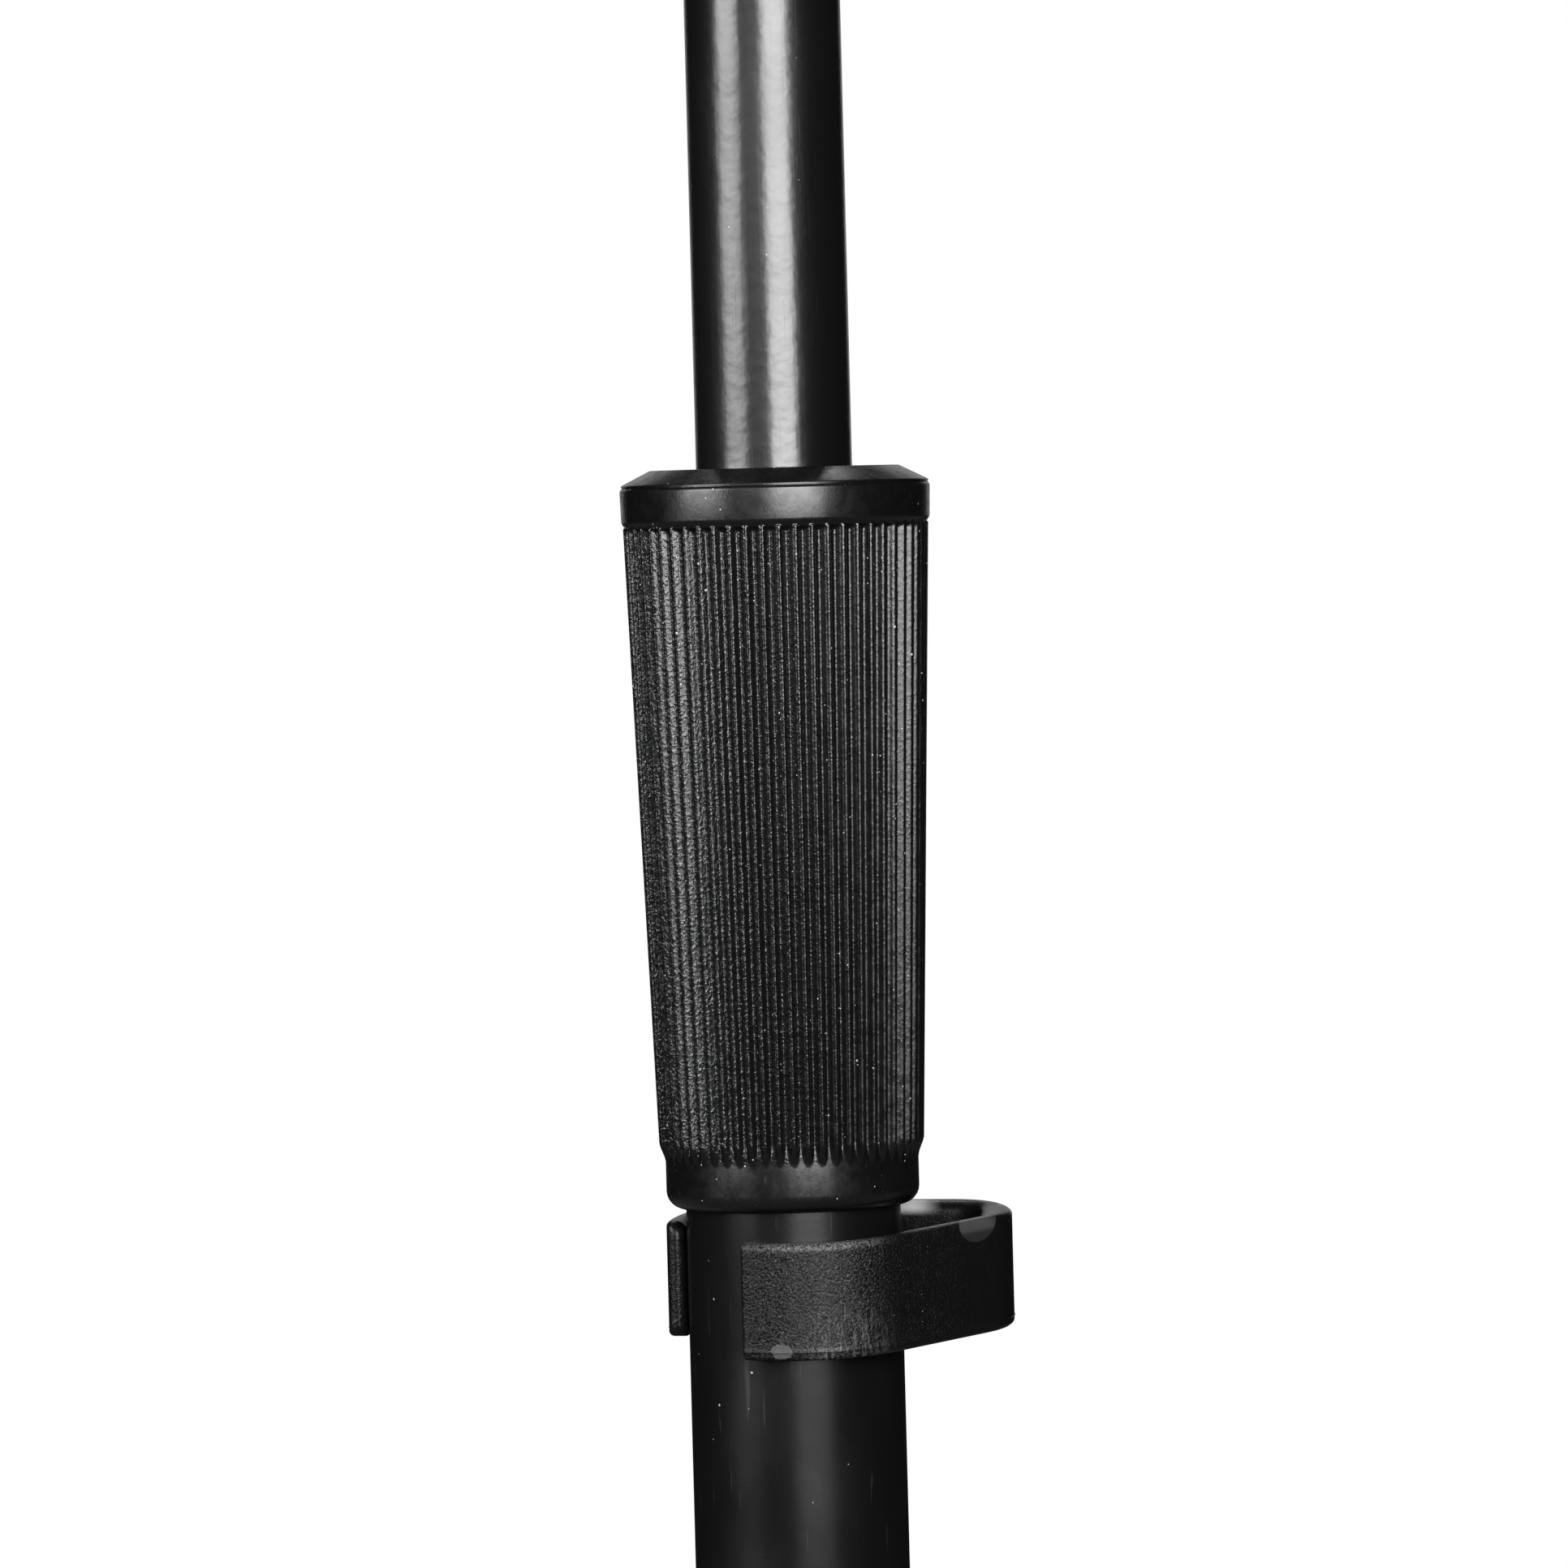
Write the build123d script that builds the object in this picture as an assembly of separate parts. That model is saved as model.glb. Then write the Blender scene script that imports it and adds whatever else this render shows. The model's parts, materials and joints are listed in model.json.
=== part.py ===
from build123d import *

import os
from math import asin, atan2, cos, degrees, hypot, radians, sin

# Music stand on a telescopic column with a quarter-turn clutch, a folding tripod and a tilting
# perforated desk. Millimetres. The origin is on the column's axis at floor level, +Z is up and the
# reader stands on the -Y side. Every solid is written where it is at the rest pose.

# ---------------------------------------------------------------- driving dimensions

FIT = 0.05  # radial clearance of a running or push fit
GAP = 0.3  # clearance between pieces that move past each other

# Column
LOWER_TUBE_R = 11.0
LOWER_TUBE_WALL = 1.5
LOWER_TUBE_BASE_Z = 86.0
UPPER_TUBE_R = 8.0
UPPER_TUBE_WALL = 1.2
UPPER_TUBE_BASE_Z = 415.0
UPPER_TUBE_LENGTH = 590.0

# Clutch grip: heights are measured down from the grip's top face
GRIP_TOP_Z = 715.8
GRIP_HEIGHT = 75.6
CAP_TOP_R = 12.75
CAP_R = 15.9
CAP_CHAMFER_DROP = 1.6
CAP_EDGE_R = 0.8
CAP_HEIGHT = 5.9
RIB_TOP_R = 15.64
RIB_END_R = 13.6
RIB_END_DROP = 68.4
COLLAR_R = 12.97
COLLAR_DROP = 70.0
COLLAR_EDGE_R = 1.8
RIB_COUNT = 57
RIB_DEPTH = 0.45
RIB_GROOVE_WIDTH = 1.2

# Clutch inside the grip: heights are measured up from the grip's bottom face
TUBE_TOP_RISE = 32.0
NECK_SPIGOT_DEPTH = 28.0
NECK_FLANGE_HEIGHT = 3.0
NECK_THREAD_R = 9.8
NECK_THREAD_HEIGHT = 15.0
NECK_THREAD_RINGS = 5
NECK_THREAD_DEPTH = 0.8
NECK_BORE_R = 8.2
COLLET_BASE_R = 10.8
COLLET_TOP_R = 9.2
COLLET_HEIGHT = 16.0
COLLET_SLOTS = 6
COLLET_SLOT_WIDTH = 1.0
THRUST_RING_HEIGHT = 1.5
NECK_PIN_R = 1.5
NECK_PIN_RISE = 12.0

# Cable clip: a ring around the lower tube that opens into a cable loop on the +X side
CLIP_MID_DROP = 83.2  # below the grip's top face
CLIP_HEIGHT = 11.8
CLIP_TILT = 6.0  # degrees, front lower
CLIP_OUTER_R = 13.3
CLIP_WALL = 2.25
CLIP_FRONT_END = 17.0  # degrees from the front, on the -X side
CLIP_REAR_END = 172.0  # degrees from +X, round the back
CLIP_STRETCH = 1.3  # straight run at the front before the loop turns back
CLIP_FLANK_ANGLE = 42.5
CLIP_FLANK_LENGTH = 13.7
CLIP_TIP_R = 6.5
CLIP_EDGE_R = 0.3

# Tripod
HUB_BOSS_R = 22.0
HUB_BASE_Z = 82.0
HUB_ROOF_Z = 122.0
HUB_COLLAR_R = 15.0
HUB_COLLAR_TOP_Z = 140.0
ARM_OUTER_WIDTH = 26.0
ARM_WALL = 4.3
ARM_REACH = 36.0  # along the leg, outward from its pivot
ARM_DEPTH = 9.5  # below the leg's axis
LEG_ANGLES = (-90.0, 30.0, 150.0)
LEG_PIVOT_R = 40.0
LEG_PIVOT_Z = 100.0
LEG_R = 8.0
LEG_WALL = 1.2
LEG_END_R = 330.0
LEG_END_Z = 9.0
KNUCKLE_R = 7.8
KNUCKLE_WIDTH = 15.0
KNUCKLE_LENGTH = 14.0
KNUCKLE_SPIGOT = 40.0
KNUCKLE_RIVET_AT = 46.0
PIVOT_PIN_R = 3.0
PIVOT_HEAD_R = 5.0
PIVOT_HEAD_HEIGHT = 1.8
FOOT_R = 11.0
FOOT_LENGTH = 40.0
FOOT_END_WALL = 6.0
FOOT_CUFF_WALL = 1.4
FOOT_CUFF_LENGTH = 9.0
FOOT_FLARE_LENGTH = 4.0
FOOT_OVERHANG = 3.0

# Base fixing
INSERT_HEIGHT = 20.0
BASE_SCREW_R = 4.0
BASE_SCREW_LENGTH = 18.0
BASE_SCREW_HEAD_R = 6.5
BASE_SCREW_HEAD_HEIGHT = 5.0
BASE_SCREW_SOCKET_R = 3.4
BASE_WASHER_R = 9.0
BASE_WASHER_HEIGHT = 1.6

# Mast end, below the upper tube
PLUG_FLANGE_HEIGHT = 2.0
PLUG_SPIGOT_HEIGHT = 20.0
BUSH_HEIGHT = 18.0
BUSH_SHANK_R = 5.0
BUSH_WASHER_HEIGHT = 1.2
BUSH_SCREW_R = 2.0
BUSH_SCREW_LENGTH = 24.0
BUSH_SCREW_HEAD_R = 3.8
BUSH_SCREW_HEAD_HEIGHT = 2.6
BUSH_SCREW_DRIVE_R = 1.1

# Tilt head and desk hinge
HINGE_Z = 1036.0
HEAD_SOCKET_R = 11.5
HEAD_SOCKET_HEIGHT = 34.0
HEAD_SOCKET_TOP_DROP = 21.0
TONGUE_R = 13.0
TONGUE_WIDTH = 10.0
TILT_BOLT_R = 3.95
TILT_BOLT_HEAD_R = 8.0
TILT_BOLT_HEAD_HEIGHT = 4.0
WASHER_R = 12.0
WASHER_HEIGHT = 1.1
EAR_THICKNESS = 2.5
HEAD_PIN_R = 2.0
HEAD_PIN_DEPTH = 3.0  # past the mast's wall

# Knob
KNOB_R = 19.0
KNOB_HEIGHT = 20.0
KNOB_LOBES = 5
KNOB_SCALLOP_R = 9.0
KNOB_BOSS_R = 9.0
KNOB_BOSS_HEIGHT = 4.0
KNOB_INSERT_R = 6.0

# Desk: built upright, then tilted back about the hinge
DESK_TILT = 25.0
DESK_WIDTH = 500.0
DESK_BELOW = 130.0  # below the hinge
DESK_ABOVE = 210.0  # above the hinge
DESK_OFFSET = 36.0  # front face, forward of the hinge
DESK_SHEET = 1.2
DESK_RIM = 9.0
DESK_TOP_CORNER_R = 32.0
DESK_BOTTOM_CORNER_R = 6.0
HOLE_R = 5.0
HOLE_PITCH_X = 26.0
HOLE_PITCH_Z = 22.5
HOLE_MARGIN = 26.0
WEB_WIDTH = 104.0
WEB_HEIGHT = 84.0
WEB_CORNER_R = 10.0
EAR_ROOT_HALF = 26.0
SHELF_DEPTH = 58.0
SHELF_BACK = 24.0
SHELF_LIP = 14.0
SHELF_BEND_R = 3.0
RIVET_R = 2.0
RIVET_HEAD_R = 3.8
RIVET_HEAD_HEIGHT = 1.3
SHELF_RIVETS = 5
SHELF_RIVET_SPACING = 112.0

# ---------------------------------------------------------------- derived places

GRIP_BASE_Z = GRIP_TOP_Z - GRIP_HEIGHT
LOWER_TUBE_TOP_Z = GRIP_BASE_Z + TUBE_TOP_RISE
LOWER_BORE_R = LOWER_TUBE_R - LOWER_TUBE_WALL
UPPER_BORE_R = UPPER_TUBE_R - UPPER_TUBE_WALL
UPPER_TUBE_TOP_Z = UPPER_TUBE_BASE_Z + UPPER_TUBE_LENGTH
NECK_TOP_Z = LOWER_TUBE_TOP_Z + NECK_FLANGE_HEIGHT + NECK_THREAD_HEIGHT
COLLET_BASE_Z = NECK_TOP_Z + FIT
COLLET_TOP_Z = COLLET_BASE_Z + COLLET_HEIGHT
THRUST_RING_Z = COLLET_TOP_Z + FIT
CLIP_MID_Z = GRIP_TOP_Z - CLIP_MID_DROP
PLUG_BASE_Z = UPPER_TUBE_BASE_Z - PLUG_FLANGE_HEIGHT
BUSH_WASHER_TOP_Z = PLUG_BASE_Z - BUSH_HEIGHT - 2 * FIT
LEG_RUN = LEG_END_R - LEG_PIVOT_R
LEG_SLOPE = degrees(atan2(LEG_PIVOT_Z - LEG_END_Z, LEG_RUN))
LEG_LENGTH = hypot(LEG_RUN, LEG_PIVOT_Z - LEG_END_Z)
SOCKET_TOP_Z = HINGE_Z - HEAD_SOCKET_TOP_DROP
EAR_INNER_X = TONGUE_WIDTH / 2 + FIT + WASHER_HEIGHT
EAR_OUTER_X = EAR_INNER_X + EAR_THICKNESS
KNOB_X = EAR_OUTER_X + DESK_SHEET
WEB_BACK = DESK_OFFSET - DESK_SHEET - EAR_THICKNESS

os.makedirs("parts", exist_ok=True)


# ---------------------------------------------------------------- helpers


def outline(points):
    """Closed face through (x, y, corner radius) points."""
    path = [(x, y) for x, y, _ in points]
    return make_face(FilletPolyline(*path, radius=[r for _, _, r in points], close=True))


def turned(points):
    """Solid of revolution about Z from (radius, height, corner radius) points."""
    return revolve(Plane.XZ * outline(points), Axis.Z)


def ring(outer_r, inner_r, low_z, high_z):
    """Plain tube section about Z."""
    return turned([(inner_r, low_z, 0), (outer_r, low_z, 0), (outer_r, high_z, 0), (inner_r, high_z, 0)])


def rod(radius, start, direction, length):
    """Cylinder from a point along a direction."""
    return extrude(Plane(origin=start, z_dir=direction) * Circle(radius), length)


def rivet(start, direction, length):
    """Rivet whose shank spans a length from start, with a domed head at each end."""
    frame = Plane(origin=start, z_dir=direction)
    head = Cylinder(RIVET_HEAD_R, RIVET_HEAD_HEIGHT, align=(Align.CENTER, Align.CENTER, Align.MIN))
    head = fillet(head.edges().group_by(Axis.Z)[-1], RIVET_HEAD_HEIGHT * 0.85)
    far = Pos(0, 0, length) * head
    near = Rot(180, 0, 0) * head
    shank = Cylinder(RIVET_R, length, align=(Align.CENTER, Align.CENTER, Align.MIN))
    return frame.location * (shank + far + near)


def write(name, shape):
    """One STEP file per node, named as the node."""
    shape.label = name
    export_step(shape, f"parts/{name}.step")


# ---------------------------------------------------------------- column and clutch


def lower_tube():
    return ring(LOWER_TUBE_R, LOWER_BORE_R, LOWER_TUBE_BASE_Z, LOWER_TUBE_TOP_Z) - neck_pin_rods(NECK_PIN_R)


def upper_tube():
    tube = ring(UPPER_TUBE_R, UPPER_BORE_R, UPPER_TUBE_BASE_Z, UPPER_TUBE_TOP_Z)
    return tube - head_pin_rod(HEAD_PIN_R + FIT)


def grip_blank():
    """Cap, tapered hand grip and collar, hollow for the clutch."""
    top = GRIP_TOP_Z
    tube_r = LOWER_TUBE_R + 2 * FIT
    thread_r = NECK_THREAD_R + 2 * FIT
    cone_r = COLLET_BASE_R + GAP
    ring_r = COLLET_TOP_R + 3 * GAP
    mast_r = UPPER_TUBE_R + 2 * FIT
    flange_z = LOWER_TUBE_TOP_Z + NECK_FLANGE_HEIGHT + FIT
    ring_top_z = THRUST_RING_Z + THRUST_RING_HEIGHT
    return turned(
        [
            (mast_r, top, 0),
            (CAP_TOP_R, top, 0.4),
            (CAP_R, top - CAP_CHAMFER_DROP, CAP_EDGE_R),
            (RIB_TOP_R, top - CAP_HEIGHT, 0),
            (RIB_END_R, top - RIB_END_DROP, 0),
            (COLLAR_R, top - COLLAR_DROP, 0),
            (COLLAR_R, GRIP_BASE_Z, COLLAR_EDGE_R),
            (tube_r, GRIP_BASE_Z, 0.3),
            (tube_r, flange_z, 0),
            (thread_r, flange_z, 0),
            (thread_r, COLLET_BASE_Z - GAP, 0),
            (cone_r, COLLET_BASE_Z - GAP, 0),
            (cone_r, COLLET_BASE_Z, 0),
            (COLLET_TOP_R + GAP, COLLET_TOP_Z, 0),
            (ring_r, COLLET_TOP_Z, 0),
            (ring_r, ring_top_z, 0),
            (mast_r, ring_top_z, 0),
        ]
    )


def rib_groove():
    """One V groove between two ribs, laid along the grip's taper at +X."""
    low = Vector(RIB_END_R, 0, GRIP_TOP_Z - COLLAR_DROP - 1)
    high = Vector(RIB_TOP_R, 0, GRIP_TOP_Z - CAP_HEIGHT - GAP)
    along = high - low
    start = Plane(origin=low, z_dir=along, x_dir=(0, 1, 0))
    half = RIB_GROOVE_WIDTH / 2
    flare = half * (1 + GAP / RIB_DEPTH)
    section = start * make_face(Polyline((-flare, -GAP), (flare, -GAP), (0, RIB_DEPTH), close=True))
    return extrude(section, dir=along, amount=along.length)


def grip_sleeve():
    groove = rib_groove()
    step = 360 / RIB_COUNT
    return grip_blank() - [Rot(0, 0, i * step) * groove for i in range(RIB_COUNT)]


def thrust_ring():
    low = THRUST_RING_Z
    return ring(COLLET_TOP_R + 3 * GAP - FIT, UPPER_TUBE_R + 2 * FIT, low, low + THRUST_RING_HEIGHT)


def neck_pin_rods(radius):
    """Two pins through the tube wall into the neck, front and back."""
    z = GRIP_BASE_Z + NECK_PIN_RISE
    length = LOWER_TUBE_R - NECK_BORE_R - 2 * FIT
    return [rod(radius, (0, side * (NECK_BORE_R + FIT), z), (0, side, 0), length) for side in (-1, 1)]


def clutch_neck():
    tube_top = LOWER_TUBE_TOP_Z
    thread_base = tube_top + NECK_FLANGE_HEIGHT
    points = [
        (NECK_BORE_R, tube_top - NECK_SPIGOT_DEPTH, 0),
        (LOWER_BORE_R - FIT, tube_top - NECK_SPIGOT_DEPTH, 0.4),
        (LOWER_BORE_R - FIT, tube_top, 0),
        (LOWER_TUBE_R, tube_top, 0.3),
        (LOWER_TUBE_R, thread_base, 0.3),
    ]
    pitch = NECK_THREAD_HEIGHT / NECK_THREAD_RINGS
    root_r = NECK_THREAD_R - NECK_THREAD_DEPTH
    for i in range(NECK_THREAD_RINGS):
        low = thread_base + i * pitch
        points += [
            (root_r, low, 0),
            (root_r, low + 0.4 * pitch, 0),
            (NECK_THREAD_R, low + 0.6 * pitch, 0),
            (NECK_THREAD_R, low + 0.9 * pitch, 0),
        ]
    points += [(root_r, NECK_TOP_Z, 0), (NECK_BORE_R, NECK_TOP_Z, 0)]
    return turned(points) - neck_pin_rods(NECK_PIN_R)


def neck_pins():
    return neck_pin_rods(NECK_PIN_R - FIT)


def clutch_collet():
    """Cone that the grip presses on the upper tube, slotted so that it can close."""
    cone = turned(
        [
            (UPPER_TUBE_R + FIT, COLLET_BASE_Z, 0),
            (COLLET_BASE_R, COLLET_BASE_Z, 0.3),
            (COLLET_TOP_R, COLLET_TOP_Z, 0.2),
            (UPPER_TUBE_R + FIT, COLLET_TOP_Z, 0),
        ]
    )
    slot = Box(COLLET_BASE_R, COLLET_SLOT_WIDTH, COLLET_HEIGHT)
    slot = Pos(COLLET_BASE_R, 0, COLLET_BASE_Z + 0.65 * COLLET_HEIGHT) * slot
    step = 360 / COLLET_SLOTS
    return cone - [Rot(0, 0, i * step) * slot for i in range(COLLET_SLOTS)]


# ---------------------------------------------------------------- cable clip


def polar(centre, radius, angle):
    return (centre[0] + radius * cos(radians(angle)), centre[1] + radius * sin(radians(angle)))


def clip_plan():
    """Wall of constant thickness along arcs joined by their common tangents, with round ends."""
    half = CLIP_WALL / 2
    mid_r = CLIP_OUTER_R - half
    tip_r = CLIP_TIP_R - half
    flank = -90 + CLIP_FLANK_ANGLE
    bend = (CLIP_STRETCH, 0)
    tip = polar(polar(bend, mid_r - tip_r, flank), CLIP_FLANK_LENGTH, flank + 90)
    tip_distance = hypot(*tip)
    back = degrees(atan2(tip[1], tip[0])) + 90 - degrees(asin((mid_r - tip_r) / tip_distance))
    arcs = [
        ((0, 0), mid_r, -90 - CLIP_FRONT_END, -90),
        (bend, mid_r, -90, flank),
        (tip, tip_r, flank, back),
        ((0, 0), mid_r, back, CLIP_REAR_END),
    ]
    edges = []
    for offset in (half, -half):
        for centre, radius, start, end in arcs:
            edges.append(CenterArc(centre, radius + offset, start, end - start))
        for (c0, r0, _, end), (c1, r1, start, _) in zip(arcs, arcs[1:]):
            edges.append(Line(polar(c0, r0 + offset, end), polar(c1, r1 + offset, start)))
    edges.append(CenterArc(polar((0, 0), mid_r, arcs[0][2]), half, arcs[0][2] + 180, 180))
    edges.append(CenterArc(polar((0, 0), mid_r, CLIP_REAR_END), half, CLIP_REAR_END, 180))
    return make_face(edges)


def cable_clip():
    """The clip is sprung onto the tube askew: its walls follow the tube and its end faces tilt."""
    wall = extrude(Pos(0, 0, -CLIP_HEIGHT) * clip_plan(), 2 * CLIP_HEIGHT)
    slab = Rot(CLIP_TILT, 0, 0) * Box(4 * CLIP_OUTER_R, 4 * CLIP_OUTER_R, CLIP_HEIGHT)
    body = wall & slab
    ends = [f for f in body.faces() if abs(f.normal_at().Z) > 0.9]
    rims = [e for face in ends for e in face.edges()]
    return Pos(0, 0, CLIP_MID_Z) * fillet(rims, CLIP_EDGE_R)


# ---------------------------------------------------------------- mast end


def mast_end_plug():
    """Plug pressed into the mast, with the shank that the guide bush turns on."""
    shank_low = PLUG_BASE_Z - BUSH_HEIGHT - FIT
    spigot_r = UPPER_BORE_R - FIT
    spigot_top = UPPER_TUBE_BASE_Z + PLUG_SPIGOT_HEIGHT
    return turned(
        [
            (BUSH_SCREW_R + FIT, shank_low, 0),
            (BUSH_SHANK_R, shank_low, 0.3),
            (BUSH_SHANK_R, PLUG_BASE_Z, 0),
            (UPPER_TUBE_R, PLUG_BASE_Z, 0.3),
            (UPPER_TUBE_R, UPPER_TUBE_BASE_Z, 0),
            (spigot_r, UPPER_TUBE_BASE_Z, 0),
            (spigot_r, spigot_top, 0.6),
            (BUSH_SCREW_R + FIT, spigot_top, 0),
        ]
    )


def guide_bush():
    top = PLUG_BASE_Z - FIT
    return turned(
        [
            (BUSH_SHANK_R + FIT, top - BUSH_HEIGHT, 0),
            (LOWER_BORE_R - 2 * FIT, top - BUSH_HEIGHT, 0.8),
            (LOWER_BORE_R - 2 * FIT, top, 0.8),
            (BUSH_SHANK_R + FIT, top, 0),
        ]
    )


def bush_washer():
    low = BUSH_WASHER_TOP_Z - BUSH_WASHER_HEIGHT
    return ring(LOWER_BORE_R - 3 * GAP, BUSH_SCREW_R + FIT, low, BUSH_WASHER_TOP_Z)


def bush_screw():
    """Pan-head screw from below."""
    top = BUSH_WASHER_TOP_Z - BUSH_WASHER_HEIGHT
    low = top - BUSH_SCREW_HEAD_HEIGHT
    head = turned([(0, low, 0), (BUSH_SCREW_HEAD_R, low, 0.9), (BUSH_SCREW_HEAD_R, top, 0), (0, top, 0)])
    drive = Pos(0, 0, low) * Cylinder(BUSH_SCREW_DRIVE_R, BUSH_SCREW_HEAD_HEIGHT)
    return head + rod(BUSH_SCREW_R, (0, 0, top), (0, 0, 1), BUSH_SCREW_LENGTH) - drive


# ---------------------------------------------------------------- tripod


def leg_frame(angle):
    """Leg coordinates: X outward along the leg, Y across it, Z above it, origin at the pivot."""
    pivot = Rot(0, 0, angle) * Pos(LEG_PIVOT_R, 0, LEG_PIVOT_Z)
    return pivot * Rot(0, LEG_SLOPE, 0)


def hub_arm():
    """Channel open at the bottom. Its roof stops the leg from turning up past rest."""
    roof_low = LEG_R + GAP
    roof_high = roof_low + ARM_WALL
    back = -LEG_PIVOT_R * 0.75
    solid = Box(
        ARM_REACH - back, ARM_OUTER_WIDTH, roof_high + ARM_DEPTH, align=(Align.MIN, Align.CENTER, Align.MIN)
    )
    solid = Pos(back, 0, -ARM_DEPTH) * solid
    nose = solid.edges().filter_by(Axis.Z).sort_by(Axis.X)[-2:]
    solid = fillet(nose, 5.0)
    upper = solid.faces().sort_by(Axis.Z)[-1]
    solid = fillet([e for e in upper.edges() if e.center().X > back + 1], 3.0)
    inner_width = ARM_OUTER_WIDTH - 2 * ARM_WALL
    pocket_back = -KNUCKLE_R - 2 * GAP
    pocket = Box(
        ARM_REACH * 2, inner_width, 2 * ARM_DEPTH + roof_low, align=(Align.MIN, Align.CENTER, Align.MIN)
    )
    return solid, Pos(pocket_back, 0, -2 * ARM_DEPTH) * pocket


def tripod_hub():
    boss = turned(
        [
            (0, HUB_BASE_Z, 0),
            (HUB_BOSS_R, HUB_BASE_Z, 2.0),
            (HUB_BOSS_R, HUB_ROOF_Z, 4.0),
            (HUB_COLLAR_R, HUB_ROOF_Z + 3, 3.0),
            (HUB_COLLAR_R, HUB_COLLAR_TOP_Z, 1.2),
            (0, HUB_COLLAR_TOP_Z, 0),
        ]
    )
    arm, pocket = hub_arm()
    hole = rod(PIVOT_PIN_R + FIT, (0, -ARM_OUTER_WIDTH, 0), (0, 1, 0), 2 * ARM_OUTER_WIDTH)
    hub = boss
    for angle in LEG_ANGLES:
        hub += leg_frame(angle) * arm
    for angle in LEG_ANGLES:
        hub -= leg_frame(angle) * (pocket + hole)
    width = 4 * LEG_PIVOT_R
    below = Box(width, width, HUB_BASE_Z, align=(Align.CENTER, Align.CENTER, Align.MIN))
    tube_hole = rod(LOWER_TUBE_R + FIT, (0, 0, LOWER_TUBE_BASE_Z), (0, 0, 1), HUB_COLLAR_TOP_Z)
    screw_hole = rod(BASE_SCREW_R + GAP, (0, 0, 0), (0, 0, 1), HUB_COLLAR_TOP_Z)
    return hub - below - tube_hole - screw_hole


def tube_insert():
    low = LOWER_TUBE_BASE_Z
    return ring(LOWER_BORE_R - FIT, BASE_SCREW_R + FIT, low, low + INSERT_HEIGHT)


def base_washer():
    return ring(BASE_WASHER_R, BASE_SCREW_R + GAP, HUB_BASE_Z - BASE_WASHER_HEIGHT, HUB_BASE_Z)


def base_screw():
    """Hexagon socket screw from below."""
    top = HUB_BASE_Z - BASE_WASHER_HEIGHT
    low = top - BASE_SCREW_HEAD_HEIGHT
    head = turned([(0, low, 0), (BASE_SCREW_HEAD_R, low, 0.6), (BASE_SCREW_HEAD_R, top, 0), (0, top, 0)])
    socket = extrude(Pos(0, 0, low) * RegularPolygon(BASE_SCREW_SOCKET_R, 6), BASE_SCREW_HEAD_HEIGHT * 0.6)
    return head + rod(BASE_SCREW_R, (0, 0, top), (0, 0, 1), BASE_SCREW_LENGTH) - socket


def leg_pivot_pin():
    """Rivet pin across the channel, with a low head on each side."""
    half = ARM_OUTER_WIDTH / 2
    pin = rod(PIVOT_PIN_R, (0, -half, 0), (0, 1, 0), 2 * half)
    head = Cylinder(PIVOT_HEAD_R, PIVOT_HEAD_HEIGHT, align=(Align.CENTER, Align.CENTER, Align.MIN))
    head = fillet(head.edges().group_by(Axis.Z)[-1], PIVOT_HEAD_HEIGHT * 0.8)
    left = Pos(0, half, 0) * Rot(-90, 0, 0) * head
    right = Pos(0, -half, 0) * Rot(90, 0, 0) * head
    return pin + left + right


def leg_knuckle():
    """Eye on the pivot pin, with a spigot that is pressed into the leg tube."""
    eye = rod(KNUCKLE_R, (0, -KNUCKLE_WIDTH / 2, 0), (0, 1, 0), KNUCKLE_WIDTH)
    neck = Box(
        KNUCKLE_LENGTH, KNUCKLE_WIDTH, 2 * KNUCKLE_R, align=(Align.MIN, Align.CENTER, Align.CENTER)
    )
    neck = fillet(neck.edges().filter_by(Axis.X), 3.0)
    spigot = rod(LEG_R - LEG_WALL - FIT, (0, 0, 0), (1, 0, 0), KNUCKLE_LENGTH + KNUCKLE_SPIGOT)
    bore = rod(PIVOT_PIN_R + FIT, (0, -KNUCKLE_WIDTH, 0), (0, 1, 0), 2 * KNUCKLE_WIDTH)
    return eye + neck + spigot - bore - knuckle_rivet_rod(RIVET_R + FIT)


def knuckle_rivet_rod(radius):
    return rod(radius, (KNUCKLE_RIVET_AT, 0, -2 * LEG_R), (0, 0, 1), 4 * LEG_R)


def leg_tube():
    start = KNUCKLE_LENGTH
    end = LEG_LENGTH - FOOT_END_WALL
    outer = rod(LEG_R, (start, 0, 0), (1, 0, 0), end - start)
    bore = rod(LEG_R - LEG_WALL, (0, 0, 0), (1, 0, 0), LEG_LENGTH)
    return outer - bore - knuckle_rivet_rod(RIVET_R + FIT)


def leg_rivet():
    return rivet((KNUCKLE_RIVET_AT, 0, -LEG_R), (0, 0, 1), 2 * LEG_R)


def foot_blank():
    """Rubber boot over the leg's end, in leg coordinates, not yet cut at the floor."""
    start = LEG_LENGTH - FOOT_LENGTH
    cuff_end = start + FOOT_CUFF_LENGTH
    cuff_r = LEG_R + FOOT_CUFF_WALL
    end = LEG_LENGTH + FOOT_OVERHANG
    shell = Rot(0, 90, 0) * turned(
        [
            (0, start, 0),
            (cuff_r, start, 0.6),
            (cuff_r, cuff_end, 0),
            (FOOT_R, cuff_end + FOOT_FLARE_LENGTH, 2.0),
            (FOOT_R, end, 4.0),
            (0, end, 0),
        ]
    )
    bore = rod(LEG_R + FIT, (0, 0, 0), (1, 0, 0), LEG_LENGTH - FOOT_END_WALL)
    return shell - bore


def leg_foot(angle):
    """The boot rests on a flat cut level with the floor."""
    below = Box(4 * LEG_END_R, 4 * LEG_END_R, 100, align=(Align.CENTER, Align.CENTER, Align.MAX))
    return leg_frame(angle) * foot_blank() - below


# ---------------------------------------------------------------- tilt head


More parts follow.
